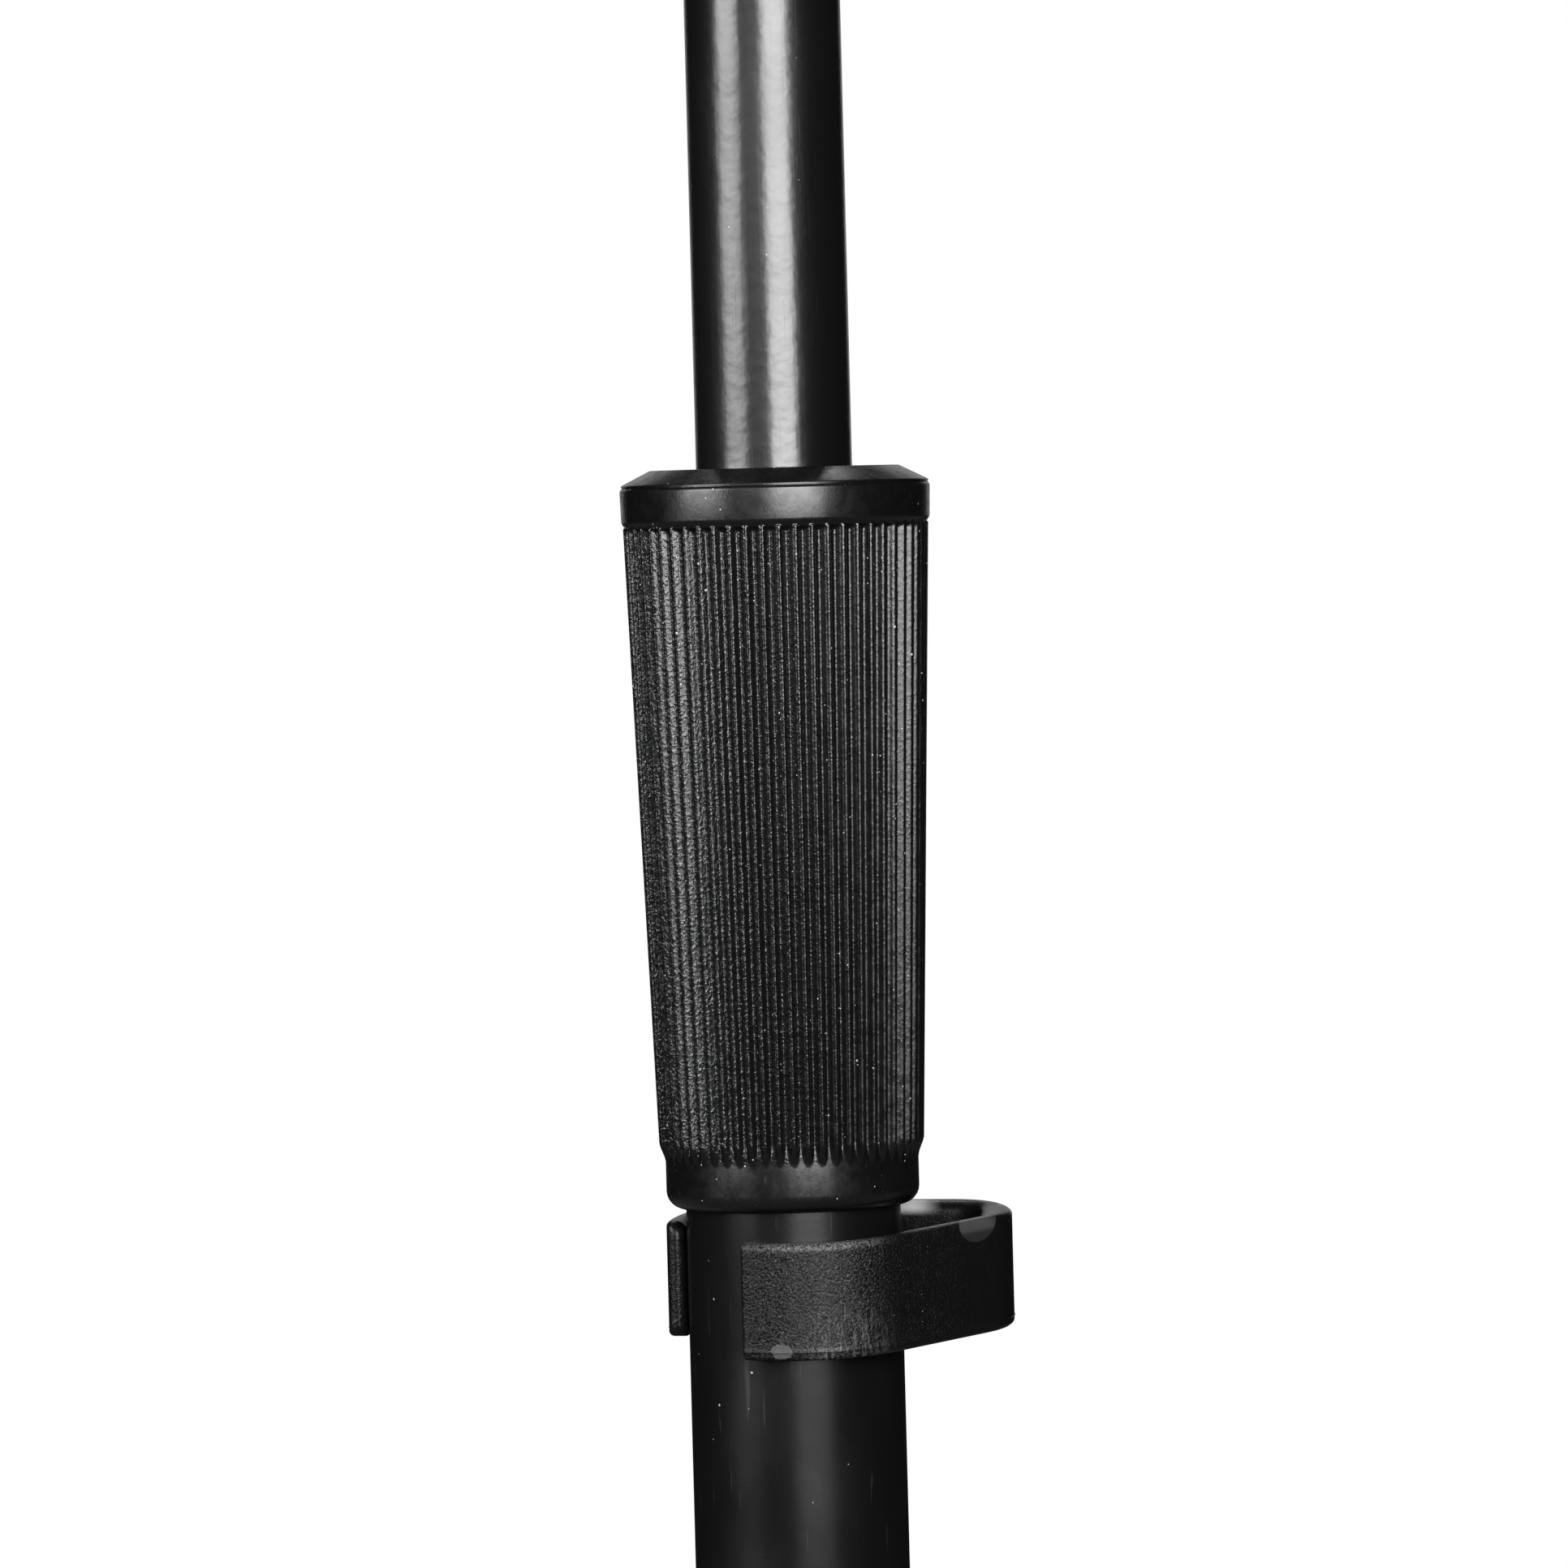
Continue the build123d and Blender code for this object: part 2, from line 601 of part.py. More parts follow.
def tilt_head():
    base = SOCKET_TOP_Z - HEAD_SOCKET_HEIGHT
    socket = turned(
        [
            (0, base, 0),
            (HEAD_SOCKET_R, base, 1.0),
            (HEAD_SOCKET_R, SOCKET_TOP_Z, 3.0),
            (0, SOCKET_TOP_Z, 0),
        ]
    )
    across = Plane(origin=(-TONGUE_WIDTH / 2, 0, 0), z_dir=(1, 0, 0), x_dir=(0, 1, 0))
    eye = Pos(0, HINGE_Z) * Circle(TONGUE_R)
    stem_low = SOCKET_TOP_Z - 6
    stem = Pos(0, (HINGE_Z + stem_low) / 2) * Rectangle(2 * HEAD_SOCKET_R - 2, HINGE_Z - stem_low)
    tongue = extrude(across * (eye + stem), TONGUE_WIDTH)
    bolt_bore = rod(TILT_BOLT_R + FIT, (-TONGUE_WIDTH, 0, HINGE_Z), (1, 0, 0), 2 * TONGUE_WIDTH)
    tube_bore = rod(UPPER_TUBE_R + FIT, (0, 0, base - 1), (0, 0, 1), UPPER_TUBE_TOP_Z - base + 1)
    return socket + tongue - bolt_bore - tube_bore - head_pin_rod(HEAD_PIN_R + FIT)


def head_pin_rod(radius):
    z = SOCKET_TOP_Z - HEAD_SOCKET_HEIGHT / 2
    start = UPPER_BORE_R - HEAD_PIN_DEPTH
    return rod(radius, (0, start, z), (0, 1, 0), HEAD_SOCKET_R - GAP - start)


def head_pin():
    return head_pin_rod(HEAD_PIN_R)


# ---------------------------------------------------------------- desk, built upright at the hinge


def tilted(shape):
    """Desk coordinates, with the hinge at the origin, to the row frame."""
    return Pos(0, 0, HINGE_Z) * Rot(-DESK_TILT, 0, 0) * shape


def desk_hole_centres():
    """Staggered rows that leave room for the bracket and the rim."""
    half_width = DESK_WIDTH / 2 - HOLE_MARGIN
    low = -DESK_BELOW + SHELF_BACK + HOLE_R * 2
    rows = int((DESK_ABOVE - HOLE_MARGIN - low) / HOLE_PITCH_Z) + 1
    centres = []
    for row in range(rows):
        z = low + row * HOLE_PITCH_Z
        shift = HOLE_PITCH_X / 2 if row % 2 else 0.0
        count = int((half_width - shift) / HOLE_PITCH_X)
        for i in range(-count - (1 if shift else 0), count + 1):
            x = i * HOLE_PITCH_X + shift
            near_web = abs(x) < WEB_WIDTH / 2 + HOLE_R and abs(z) < WEB_HEIGHT / 2 + HOLE_R
            if not near_web and abs(x) <= half_width:
                centres.append((x, z))
    return centres


def bracket_rivet_places():
    x = WEB_WIDTH / 2 - WEB_CORNER_R
    z = WEB_HEIGHT / 2 - WEB_CORNER_R
    return [(sx * x, sz * z) for sx in (-1, 1) for sz in (-1, 1)]


def shelf_rivet_places():
    first = -(SHELF_RIVETS - 1) / 2
    z = -DESK_BELOW + SHELF_BACK * 0.6
    return [((first + i) * SHELF_RIVET_SPACING, z) for i in range(SHELF_RIVETS)]


def desk_outline(inset):
    half = DESK_WIDTH / 2 - inset
    low = -DESK_BELOW + inset
    high = DESK_ABOVE - inset
    top_r = DESK_TOP_CORNER_R - inset
    low_r = DESK_BOTTOM_CORNER_R - inset
    points = [(-half, low), (half, low), (half, high), (-half, high)]
    return FilletPolyline(*points, radius=[low_r, low_r, top_r, top_r], close=True)


def desk_plate():
    """Perforated sheet with its rim folded back."""
    front = Plane(origin=(0, -DESK_OFFSET, 0), z_dir=(0, 1, 0), x_dir=(1, 0, 0))
    flip = [(x, -z) for x, z in desk_hole_centres()]
    holes = [Wire.make_circle(HOLE_R, Plane(origin=(x, z, 0))) for x, z in flip]
    rivets = [(x, -z) for x, z in bracket_rivet_places() + shelf_rivet_places()]
    holes += [Wire.make_circle(RIVET_R + FIT, Plane(origin=(x, z, 0))) for x, z in rivets]
    edge = Rot(180, 0, 0) * desk_outline(0.0)
    inner = Rot(180, 0, 0) * desk_outline(DESK_SHEET)
    sheet = extrude(front * Face(edge.wire(), holes), DESK_SHEET, dir=(0, 1, 0))
    rim = extrude(front * Face(edge.wire(), [inner.wire()]), DESK_RIM, dir=(0, 1, 0))
    return sheet + rim


def desk_shelf():
    """Angle with an upturned lip, along the desk's lower edge."""
    t = DESK_SHEET
    bend = SHELF_BEND_R
    section = outline(
        [
            (0, SHELF_BACK, 0.4),
            (0, 0, bend),
            (SHELF_DEPTH, 0, bend),
            (SHELF_DEPTH, SHELF_LIP, 0.5),
            (SHELF_DEPTH - t, SHELF_LIP, 0.5),
            (SHELF_DEPTH - t, t, bend - t),
            (t, t, bend - t),
            (t, SHELF_BACK, 0.4),
        ]
    )
    corner = (-DESK_WIDTH / 2, -DESK_OFFSET, -DESK_BELOW)
    profile = Plane(origin=corner, z_dir=(-1, 0, 0), x_dir=(0, -1, 0)) * section
    shelf = extrude(profile, -DESK_WIDTH)
    start = -DESK_OFFSET - 2 * t
    return shelf - [rod(RIVET_R + FIT, (x, start, z), (0, 1, 0), 4 * t) for x, z in shelf_rivet_places()]


def desk_bracket():
    """Web on the back of the plate with two ears that reach back to the tilt bolt."""
    web_plane = Plane(origin=(0, -WEB_BACK, 0), z_dir=(0, -1, 0), x_dir=(1, 0, 0))
    web = extrude(web_plane * RectangleRounded(WEB_WIDTH, WEB_HEIGHT, WEB_CORNER_R), EAR_THICKNESS)
    root = -WEB_BACK - EAR_THICKNESS / 2
    arm = Polyline(
        (root, -EAR_ROOT_HALF), (root, EAR_ROOT_HALF), (0, TONGUE_R), (0, -TONGUE_R), close=True
    )
    bracket = web
    for side in (-1, 1):
        face = Plane(origin=(side * EAR_INNER_X, 0, 0), z_dir=(1, 0, 0), x_dir=(0, 1, 0))
        bracket += extrude(face * (make_face(arm) + Circle(TONGUE_R)), side * EAR_THICKNESS)
    bracket -= rod(TILT_BOLT_R + FIT, (-EAR_OUTER_X - 1, 0, 0), (1, 0, 0), 2 * EAR_OUTER_X + 2)
    length = 2 * (DESK_OFFSET - WEB_BACK)
    holes = [rod(RIVET_R + FIT, (x, -DESK_OFFSET, z), (0, 1, 0), length) for x, z in bracket_rivet_places()]
    return bracket - holes


def bracket_rivets():
    length = DESK_OFFSET - WEB_BACK
    return [rivet((x, -DESK_OFFSET, z), (0, 1, 0), length) for x, z in bracket_rivet_places()]


def shelf_rivets():
    start = -DESK_OFFSET - DESK_SHEET
    return [rivet((x, start, z), (0, 1, 0), 2 * DESK_SHEET) for x, z in shelf_rivet_places()]


def friction_washers():
    left = rod(WASHER_R, (-EAR_INNER_X, 0, 0), (1, 0, 0), WASHER_HEIGHT)
    right = rod(WASHER_R, (EAR_INNER_X, 0, 0), (-1, 0, 0), WASHER_HEIGHT)
    bore = rod(TILT_BOLT_R + FIT, (-EAR_OUTER_X, 0, 0), (1, 0, 0), 2 * EAR_OUTER_X)
    return [left - bore, right - bore]


def tilt_bolt():
    """Cup-head bolt from the -X side, threaded into the knob."""
    head = Cylinder(TILT_BOLT_HEAD_R, TILT_BOLT_HEAD_HEIGHT, align=(Align.CENTER, Align.CENTER, Align.MIN))
    head = fillet(head.edges().group_by(Axis.Z)[-1], TILT_BOLT_HEAD_HEIGHT * 0.75)
    head = Pos(-EAR_OUTER_X, 0, 0) * Rot(0, -90, 0) * head
    shank = rod(TILT_BOLT_R, (-EAR_OUTER_X, 0, 0), (1, 0, 0), 2 * EAR_OUTER_X + KNOB_HEIGHT * 0.7)
    return head + shank


def bolt_washer():
    disc = rod(KNOB_BOSS_R, (EAR_OUTER_X, 0, 0), (1, 0, 0), DESK_SHEET - FIT)
    return disc - rod(TILT_BOLT_R + FIT, (0, 0, 0), (1, 0, 0), KNOB_HEIGHT)


def tilt_knob():
    """Five-lobed hand knob with a moulded-in insert."""
    body = turned(
        [
            (0, 0, 0),
            (KNOB_BOSS_R, 0, 0.5),
            (KNOB_BOSS_R, KNOB_BOSS_HEIGHT, 1.5),
            (KNOB_R, KNOB_BOSS_HEIGHT + 1, 2.5),
            (KNOB_R, KNOB_HEIGHT - 2, 3.0),
            (0, KNOB_HEIGHT, 0),
        ]
    )
    step = 360 / KNOB_LOBES
    scallop = Pos(KNOB_R + 0.55 * KNOB_SCALLOP_R, 0, KNOB_HEIGHT / 2)
    scallop *= Cylinder(KNOB_SCALLOP_R, 2 * KNOB_HEIGHT)
    body -= [Rot(0, 0, (i + 0.5) * step) * scallop for i in range(KNOB_LOBES)]
    body -= Cylinder(KNOB_INSERT_R + FIT, KNOB_HEIGHT * 0.8, align=(Align.CENTER, Align.CENTER, Align.MIN))
    return Pos(KNOB_X, 0, 0) * Rot(0, 90, 0) * body


def knob_insert():
    insert = rod(KNOB_INSERT_R, (KNOB_X, 0, 0), (1, 0, 0), KNOB_HEIGHT * 0.75)
    return insert - rod(TILT_BOLT_R + FIT, (KNOB_X, 0, 0), (1, 0, 0), KNOB_HEIGHT)


# ---------------------------------------------------------------- write every node

write("lower_tube", lower_tube())
write("upper_tube", upper_tube())
write("grip_sleeve", grip_sleeve())
write("thrust_ring", thrust_ring())
write("clutch_neck", clutch_neck())
write("neck_pins", Compound(children=neck_pins()))
write("clutch_collet", clutch_collet())
write("cable_clip", cable_clip())
write("mast_end_plug", mast_end_plug())
write("guide_bush", guide_bush())
write("bush_washer", bush_washer())
write("bush_screw", bush_screw())
write("tripod_hub", tripod_hub())
write("tube_insert", tube_insert())
write("base_washer", base_washer())
write("base_screw", base_screw())
write("leg_pivot_pins", Compound(children=[leg_frame(a) * leg_pivot_pin() for a in LEG_ANGLES]))
for number, leg_angle in enumerate(LEG_ANGLES, start=1):
    place = leg_frame(leg_angle)
    write(f"leg_{number}_tube", place * leg_tube())
    write(f"leg_{number}_knuckle", place * leg_knuckle())
    write(f"leg_{number}_rivet", place * leg_rivet())
    write(f"leg_{number}_foot", leg_foot(leg_angle))
write("tilt_head", tilt_head())
write("head_pin", head_pin())
write("desk_plate", tilted(desk_plate()))
write("desk_shelf", tilted(desk_shelf()))
write("desk_bracket", tilted(desk_bracket()))
write("bracket_rivets", Compound(children=[tilted(r) for r in bracket_rivets()]))
write("shelf_rivets", Compound(children=[tilted(r) for r in shelf_rivets()]))
write("friction_washers", Compound(children=[tilted(w) for w in friction_washers()]))
write("tilt_bolt", tilted(tilt_bolt()))
write("bolt_washer", tilted(bolt_washer()))
write("tilt_knob", tilted(tilt_knob()))
write("knob_insert", tilted(knob_insert()))
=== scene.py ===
"""Music stand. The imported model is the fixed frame; the pieces and materials here give it its looks.

Lengths are in metres in the row frame: the origin is on the column's axis at floor level, +Z is up and
the reader stands on the -Y side. MM is a millimetre.
"""

import json
import math

import bpy
from mathutils import Matrix, Vector


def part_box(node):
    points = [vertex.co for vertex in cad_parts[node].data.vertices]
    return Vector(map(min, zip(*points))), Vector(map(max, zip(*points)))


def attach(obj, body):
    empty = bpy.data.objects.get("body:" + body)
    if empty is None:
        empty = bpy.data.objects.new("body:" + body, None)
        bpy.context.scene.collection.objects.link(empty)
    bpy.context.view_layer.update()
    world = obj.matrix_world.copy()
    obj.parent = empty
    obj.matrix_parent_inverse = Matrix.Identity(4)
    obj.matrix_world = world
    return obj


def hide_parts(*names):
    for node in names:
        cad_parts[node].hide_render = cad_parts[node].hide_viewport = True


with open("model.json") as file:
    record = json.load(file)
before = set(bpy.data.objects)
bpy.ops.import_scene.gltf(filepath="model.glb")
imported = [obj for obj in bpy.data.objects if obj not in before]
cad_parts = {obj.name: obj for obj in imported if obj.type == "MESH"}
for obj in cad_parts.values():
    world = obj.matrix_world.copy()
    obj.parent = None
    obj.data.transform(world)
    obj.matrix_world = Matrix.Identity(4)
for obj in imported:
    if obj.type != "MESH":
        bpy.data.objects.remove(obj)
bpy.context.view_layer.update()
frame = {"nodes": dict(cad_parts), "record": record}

MM = 0.001
TAU = 2 * math.pi

# Heights that materials and pieces share, read from the frame
GRIP_LOW, GRIP_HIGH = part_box("grip_sleeve")
GRIP_TOP = GRIP_HIGH.z
CLIP_LOW, CLIP_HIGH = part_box("cable_clip")
CLIP_MID = (CLIP_LOW.z + CLIP_HIGH.z) / 2

# The clip slopes up towards the back by this angle
CLIP_TILT = math.radians(6.0)

# Where the grip's plain cap and collar turn into ribs, down from its top face
CAP_BLEND_TOP = 5.4 * MM
CAP_BLEND_END = 6.0 * MM
COLLAR_BLEND_TOP = 70.0 * MM
COLLAR_BLEND_END = 71.0 * MM

# Noise mostly lies between these two values
NOISE_LOW = 0.3
NOISE_HIGH = 0.7

# Colours that several materials share
PAINT_BLACK = (0.003, 0.003, 0.0032)
PAINT_DUST = (0.25, 0.25, 0.24)
CASTING_BLACK = (0.011, 0.011, 0.0115)
RUBBER_BLACK = (0.018, 0.018, 0.018)


# ================================================================ camera


def make_camera():
    """Close view of the clutch, level with the cap and looking a little down, with a slight roll."""
    distance = 0.95
    below_cap = 3.7 * MM
    aside = 0.17 * MM
    pitch = math.radians(1.73)
    roll = math.radians(1.503)
    forward = Vector((0, math.cos(pitch), -math.sin(pitch)))
    level_up = Vector((0, math.sin(pitch), math.cos(pitch)))
    level_right = Vector((1, 0, 0))
    right = level_right * math.cos(roll) - level_up * math.sin(roll)
    up = level_up * math.cos(roll) + level_right * math.sin(roll)
    data = bpy.data.cameras.new("camera")
    data.lens = 213.0
    data.sensor_width = 36.0
    data.clip_start = 0.05
    data.clip_end = 50.0
    camera = bpy.data.objects.new("camera", data)
    bpy.context.scene.collection.objects.link(camera)
    turn = Matrix((right, up, -forward)).transposed().to_4x4()
    camera.matrix_world = Matrix.Translation((aside, -distance, GRIP_TOP - below_cap)) @ turn
    bpy.context.scene.camera = camera


# ================================================================ material recipes


class Recipe:
    """A node material around one Principled shader, with short calls for what drives it."""

    def __init__(self, name, colour, roughness, **constants):
        self.material = bpy.data.materials.new(name)
        self.material.use_nodes = True
        self.tree = self.material.node_tree
        self.tree.nodes.clear()
        self.shader = self.tree.nodes.new("ShaderNodeBsdfPrincipled")
        output = self.tree.nodes.new("ShaderNodeOutputMaterial")
        self.tree.links.new(self.shader.outputs["BSDF"], output.inputs["Surface"])
        self.shader.inputs["Base Color"].default_value = (*colour, 1)
        self.shader.inputs["Roughness"].default_value = roughness
        for key, value in constants.items():
            socket = key.replace("_", " ").title().replace("Ior", "IOR")
            self.shader.inputs[socket].default_value = value
        self.place = self.tree.nodes.new("ShaderNodeTexCoord").outputs["Object"]

    def node(self, kind, inputs=(), **settings):
        """A node with its settings, and its inputs set to values or linked to sockets."""
        made = self.tree.nodes.new(kind)
        for key, value in settings.items():
            setattr(made, key, value)
        for key, value in dict(inputs).items():
            if isinstance(value, bpy.types.NodeSocket):
                self.tree.links.new(value, made.inputs[key])
            else:
                made.inputs[key].default_value = value
        return made

    def stretched(self, scale):
        """Object coordinates scaled along each axis."""
        return self.node("ShaderNodeMapping", {"Vector": self.place, "Scale": scale}).outputs["Vector"]

    def noise(self, scale, detail, rough=0.5, along=(1, 1, 1)):
        """Noise with this many features to the metre; along below 1 stretches them on that axis."""
        settings = {
            "Vector": self.stretched(along),
            "Scale": scale,
            "Detail": detail,
            "Roughness": rough,
        }
        return self.node("ShaderNodeTexNoise", settings).outputs["Fac"]

    def remap(self, value, low, high, to_low=0.0, to_high=1.0):
        """Smooth step from to_low to to_high while the value goes from low to high."""
        settings = {
            "Value": value,
            "From Min": low,
            "From Max": high,
            "To Min": to_low,
            "To Max": to_high,
        }
        made = self.node("ShaderNodeMapRange", settings, interpolation_type="SMOOTHSTEP")
        return made.outputs["Result"]

    def math(self, operation, a, b):
        """Result of one operation on two values."""
        return self.node("ShaderNodeMath", {0: a, 1: b}, operation=operation).outputs[0]

    def product(self, *values):
        """Values multiplied together."""
        made = values[0]
        for value in values[1:]:
            made = self.math("MULTIPLY", made, value)
        return made

    def largest(self, *masks):
        """The greatest of several masks."""
        made = masks[0]
        for mask in masks[1:]:
            made = self.math("MAXIMUM", made, mask)
        return made

    def blend(self, share, a, b):
        """Mix of two values: a where the share is 0 and b where it is 1."""
        factor, first, second = 0, 2, 3
        return self.node("ShaderNodeMix", {factor: share, first: a, second: b}).outputs[0]

    def mix(self, share, a, b):
        """Mix of two colours, each a colour or a socket: a where the share is 0 and b where it is 1."""
        factor, first, second, result = 0, 6, 7, 2
        colours = {
            index: value if isinstance(value, bpy.types.NodeSocket) else (*value, 1)
            for index, value in ((first, a), (second, b))
        }
        made = self.node("ShaderNodeMix", {}, data_type="RGBA")
        for index, value in {factor: share, **colours}.items():
            if isinstance(value, bpy.types.NodeSocket):
                self.tree.links.new(value, made.inputs[index])
            else:
                made.inputs[index].default_value = value
        return made.outputs[result]

    def axis(self, name):
        """The X, Y or Z coordinate."""
        return self.node("ShaderNodeSeparateXYZ", {"Vector": self.place}).outputs[name]

    def bump(self, height, depth, strength):
        """Bump of a depth in metres, laid over any bump that is already there."""
        settings = {"Height": height, "Distance": depth, "Strength": strength}
        normal = self.shader.inputs["Normal"]
        if normal.is_linked:
            settings["Normal"] = normal.links[0].from_socket
        made = self.node("ShaderNodeBump", settings)
        self.tree.links.new(made.outputs["Normal"], normal)

    def drive(self, key, socket):
        """Link a socket to an input of the shader."""
        self.tree.links.new(socket, self.shader.inputs[key])

    def colour(self, share, a, b):
        """Drive the base colour between two colours."""
        self.drive("Base Color", self.mix(share, a, b))

    def mottle(self, pattern, low, high):
        """Drive the roughness between two values with a noise pattern."""
        self.drive("Roughness", self.remap(pattern, NOISE_LOW, NOISE_HIGH, low, high))

    def specks(self, scale, size, share):
        """Mask of separate specks in cells.

        The scale is cells to the metre, the size a radius as a share of a cell, and the share the part of
        all cells that hold a speck.
        """
        cell = self.node("ShaderNodeTexVoronoi", {"Vector": self.place, "Scale": scale}, feature="F1")
        spot = self.remap(cell.outputs["Distance"], size * 0.6, size, 1.0, 0.0)
        pick = self.node("ShaderNodeSeparateColor", {"Color": cell.outputs["Color"]}).outputs[0]
        return self.product(spot, self.math("GREATER_THAN", pick, 1 - share))

    def spot(self, x, y, middle, reach):
        """Mask of an ellipse in two coordinates, with half axes reach."""
        across = self.math("DIVIDE", self.math("SUBTRACT", x, middle[0]), reach[0])
        up = self.math("DIVIDE", self.math("SUBTRACT", y, middle[1]), reach[1])
        away = self.math("ADD", self.product(across, across), self.product(up, up))
        return self.remap(away, 0.85, 1.0, 1.0, 0.0)


def gloss_paint():
    """Upper tube: glossy black paint with faint orange peel, fine scratches along the slide and dust."""
    m = Recipe("gloss_paint", PAINT_BLACK, 0.28, specular_ior_level=0.64)
    scratch = m.noise(5200, 2.0, along=(1, 1, 0.012))
    lines = m.remap(scratch, 0.62, 0.74)
    m.bump(m.noise(640, 2.0), 0.04 * MM, 0.9)
    m.bump(m.noise(90, 1.0, along=(1, 1, 0.35)), 0.05 * MM, 0.4)
    m.bump(m.noise(1900, 2.0, along=(1, 1, 0.03)), 0.009 * MM, 0.9)
    m.bump(scratch, 0.0012 * MM, 0.5)
    haze = m.remap(m.noise(60, 4.0), 0.35, 0.7, 0.23, 0.28)
    m.drive("Roughness", m.math("ADD", haze, m.product(lines, 0.06)))
    dust = m.largest(m.specks(330, 0.035, 0.3), m.specks(900, 0.06, 0.08))
    m.colour(dust, PAINT_BLACK, PAINT_DUST)
    return m.material


def satin_paint():
    """Lower tube and legs: satin black paint, slightly uneven, with dust and a few pale rubs."""
    m = Recipe("satin_paint", PAINT_BLACK, 0.22, specular_ior_level=0.22)
    scratch = m.remap(m.noise(1500, 3.0, along=(1, 1, 0.05)), 0.66, 0.72)
    rub = m.remap(m.noise(130, 5.0, 0.65, along=(1, 1, 0.3)), 0.66, 0.74)
    m.bump(m.noise(700, 3.0), 0.014 * MM, 0.5)
    m.bump(m.noise(2600, 2.0), 0.005 * MM, 0.5)
    m.mottle(m.noise(170, 4.0, along=(1, 1, 0.5)), 0.23, 0.31)
    surface_tone = m.mix(m.product(rub, 0.2), PAINT_BLACK, (0.04, 0.04, 0.039))
    surface_tone = m.mix(m.product(scratch, 0.12), surface_tone, (0.1, 0.1, 0.1))
    dust = m.largest(m.specks(260, 0.04, 0.3), m.specks(800, 0.06, 0.1))
    m.colour(dust, surface_tone, PAINT_DUST)
    return m.material


def grip_plastic():
    """Clutch grip: glossy cloudy cap, crisp grainy ribs and a handled collar in one moulding."""
    black = (0.0024, 0.0024, 0.0026)
    m = Recipe("grip_plastic", black, 0.22, specular_ior_level=0.46)
    height = m.axis("Z")
    cap = m.remap(height, GRIP_TOP - CAP_BLEND_END, GRIP_TOP - CAP_BLEND_TOP)
    collar = m.remap(height, GRIP_TOP - COLLAR_BLEND_END, GRIP_TOP - COLLAR_BLEND_TOP, 1.0, 0.0)
    plain = m.largest(cap, collar)
    clouds = m.noise(620, 4.0, 0.6)
    m.bump(m.product(clouds, cap), 0.02 * MM, 0.7)
    m.bump(m.product(clouds, collar), 0.009 * MM, 0.7)
    m.bump(m.noise(160, 1.0), 0.02 * MM, 0.4)
    grain = m.remap(m.noise(3300, 2.0, 0.6, along=(1, 1, 0.7)), 0.42, 0.68)
    ribbed = m.math("SUBTRACT", 1.0, m.product(plain, 0.8))
    ribbed = m.product(ribbed, m.remap(m.axis("X"), -6 * MM, 8 * MM, 1.0, 0.3))
    m.bump(m.product(grain, ribbed), 0.017 * MM, 1.0)
    plain_rough = m.remap(clouds, 0.35, 0.7, 0.24, 0.33)
    rib_rough = m.remap(m.noise(900, 3.0), NOISE_LOW, NOISE_HIGH, 0.15, 0.22)
    m.drive("Roughness", m.blend(plain, rib_rough, plain_rough))
    rub = m.remap(m.noise(2100, 4.0, 0.7, along=(1, 1, 0.5)), 0.6, 0.72)
    rub = m.product(rub, m.remap(m.noise(160, 3.0), 0.45, 0.65))
    surface_tone = m.mix(m.product(rub, 0.3), black, (0.08, 0.08, 0.085))
    dust = m.largest(m.specks(420, 0.06, 0.35), m.specks(1300, 0.11, 0.2))
    m.colour(dust, surface_tone, (0.4, 0.4, 0.39))
    return m.material


def clip_plastic():
    """Cable clip: grainy moulded plastic, scuffed in front, with a gate mark and a chip, and painted
    highlights along its top edge, low in front and behind the loop.
    """
    m = Recipe("clip_plastic", PAINT_BLACK, 0.34, specular_ior_level=0.18)
    across = m.axis("X")
    depth = m.axis("Y")
    level = m.math("SUBTRACT", m.axis("Z"), m.product(depth, math.tan(CLIP_TILT)))
    level = m.math("SUBTRACT", level, CLIP_MID)
    front = m.remap(depth, -5 * MM, -8 * MM)
    middle = m.product(m.remap(across, -9 * MM, 1 * MM), m.remap(across, 5 * MM, 11 * MM, 1.0, 0.0))
    handled = m.product(middle, front)
    grain = m.noise(3600, 2.0, 0.6)
    coarse = m.product(m.remap(grain, 0.4, 0.62), m.remap(depth, 0, -6 * MM, 0.3, 1.0))
    m.bump(coarse, 0.03 * MM, 1.0)
    scuff = m.product(m.remap(m.noise(5200, 3.0, 0.7, along=(1, 1, 0.7)), 0.58, 0.66), handled)
    m.bump(scuff, 0.02 * MM, 0.6)
    # Streaky pale paint low on the front, right of the middle: a painted highlight along the lower edge.
    streak = m.remap(m.noise(2800, 3.0, 0.7, along=(1, 1, 0.2)), 0.45, 0.68)
    low = m.remap(level, 1.5 * MM, -5 * MM)
    right = m.remap(across, -1 * MM, 4 * MM)
    low_highlight_streaks = m.product(streak, low, right, handled)
    # Pale band along the top edge, broken up by noise: a painted highlight over edge wear.
    rim_highlight_and_wear = m.product(m.remap(level, 5.1 * MM, 5.5 * MM), m.remap(m.noise(4000, 3.0, 0.7), 0.4, 0.6))
    rim_highlight_and_wear = m.product(rim_highlight_and_wear, handled)
    surface_tone = m.mix(m.product(scuff, 0.8), PAINT_BLACK, (0.085, 0.085, 0.085))
    surface_tone = m.mix(m.product(low_highlight_streaks, 0.7), surface_tone, (0.09, 0.09, 0.09))
    # Paints the top-edge highlight into the colour.
    surface_tone = m.mix(m.product(rim_highlight_and_wear, 0.8), surface_tone, (0.1, 0.1, 0.1))
    surface_tone = clip_marks(m, surface_tone, across, depth, level, front)
    dust = m.largest(m.specks(500, 0.045, 0.25), m.specks(1400, 0.07, 0.1))
    m.colour(dust, surface_tone, (0.25, 0.25, 0.245))
    m.mottle(m.noise(900, 4.0), 0.2, 0.3)
    return m.material


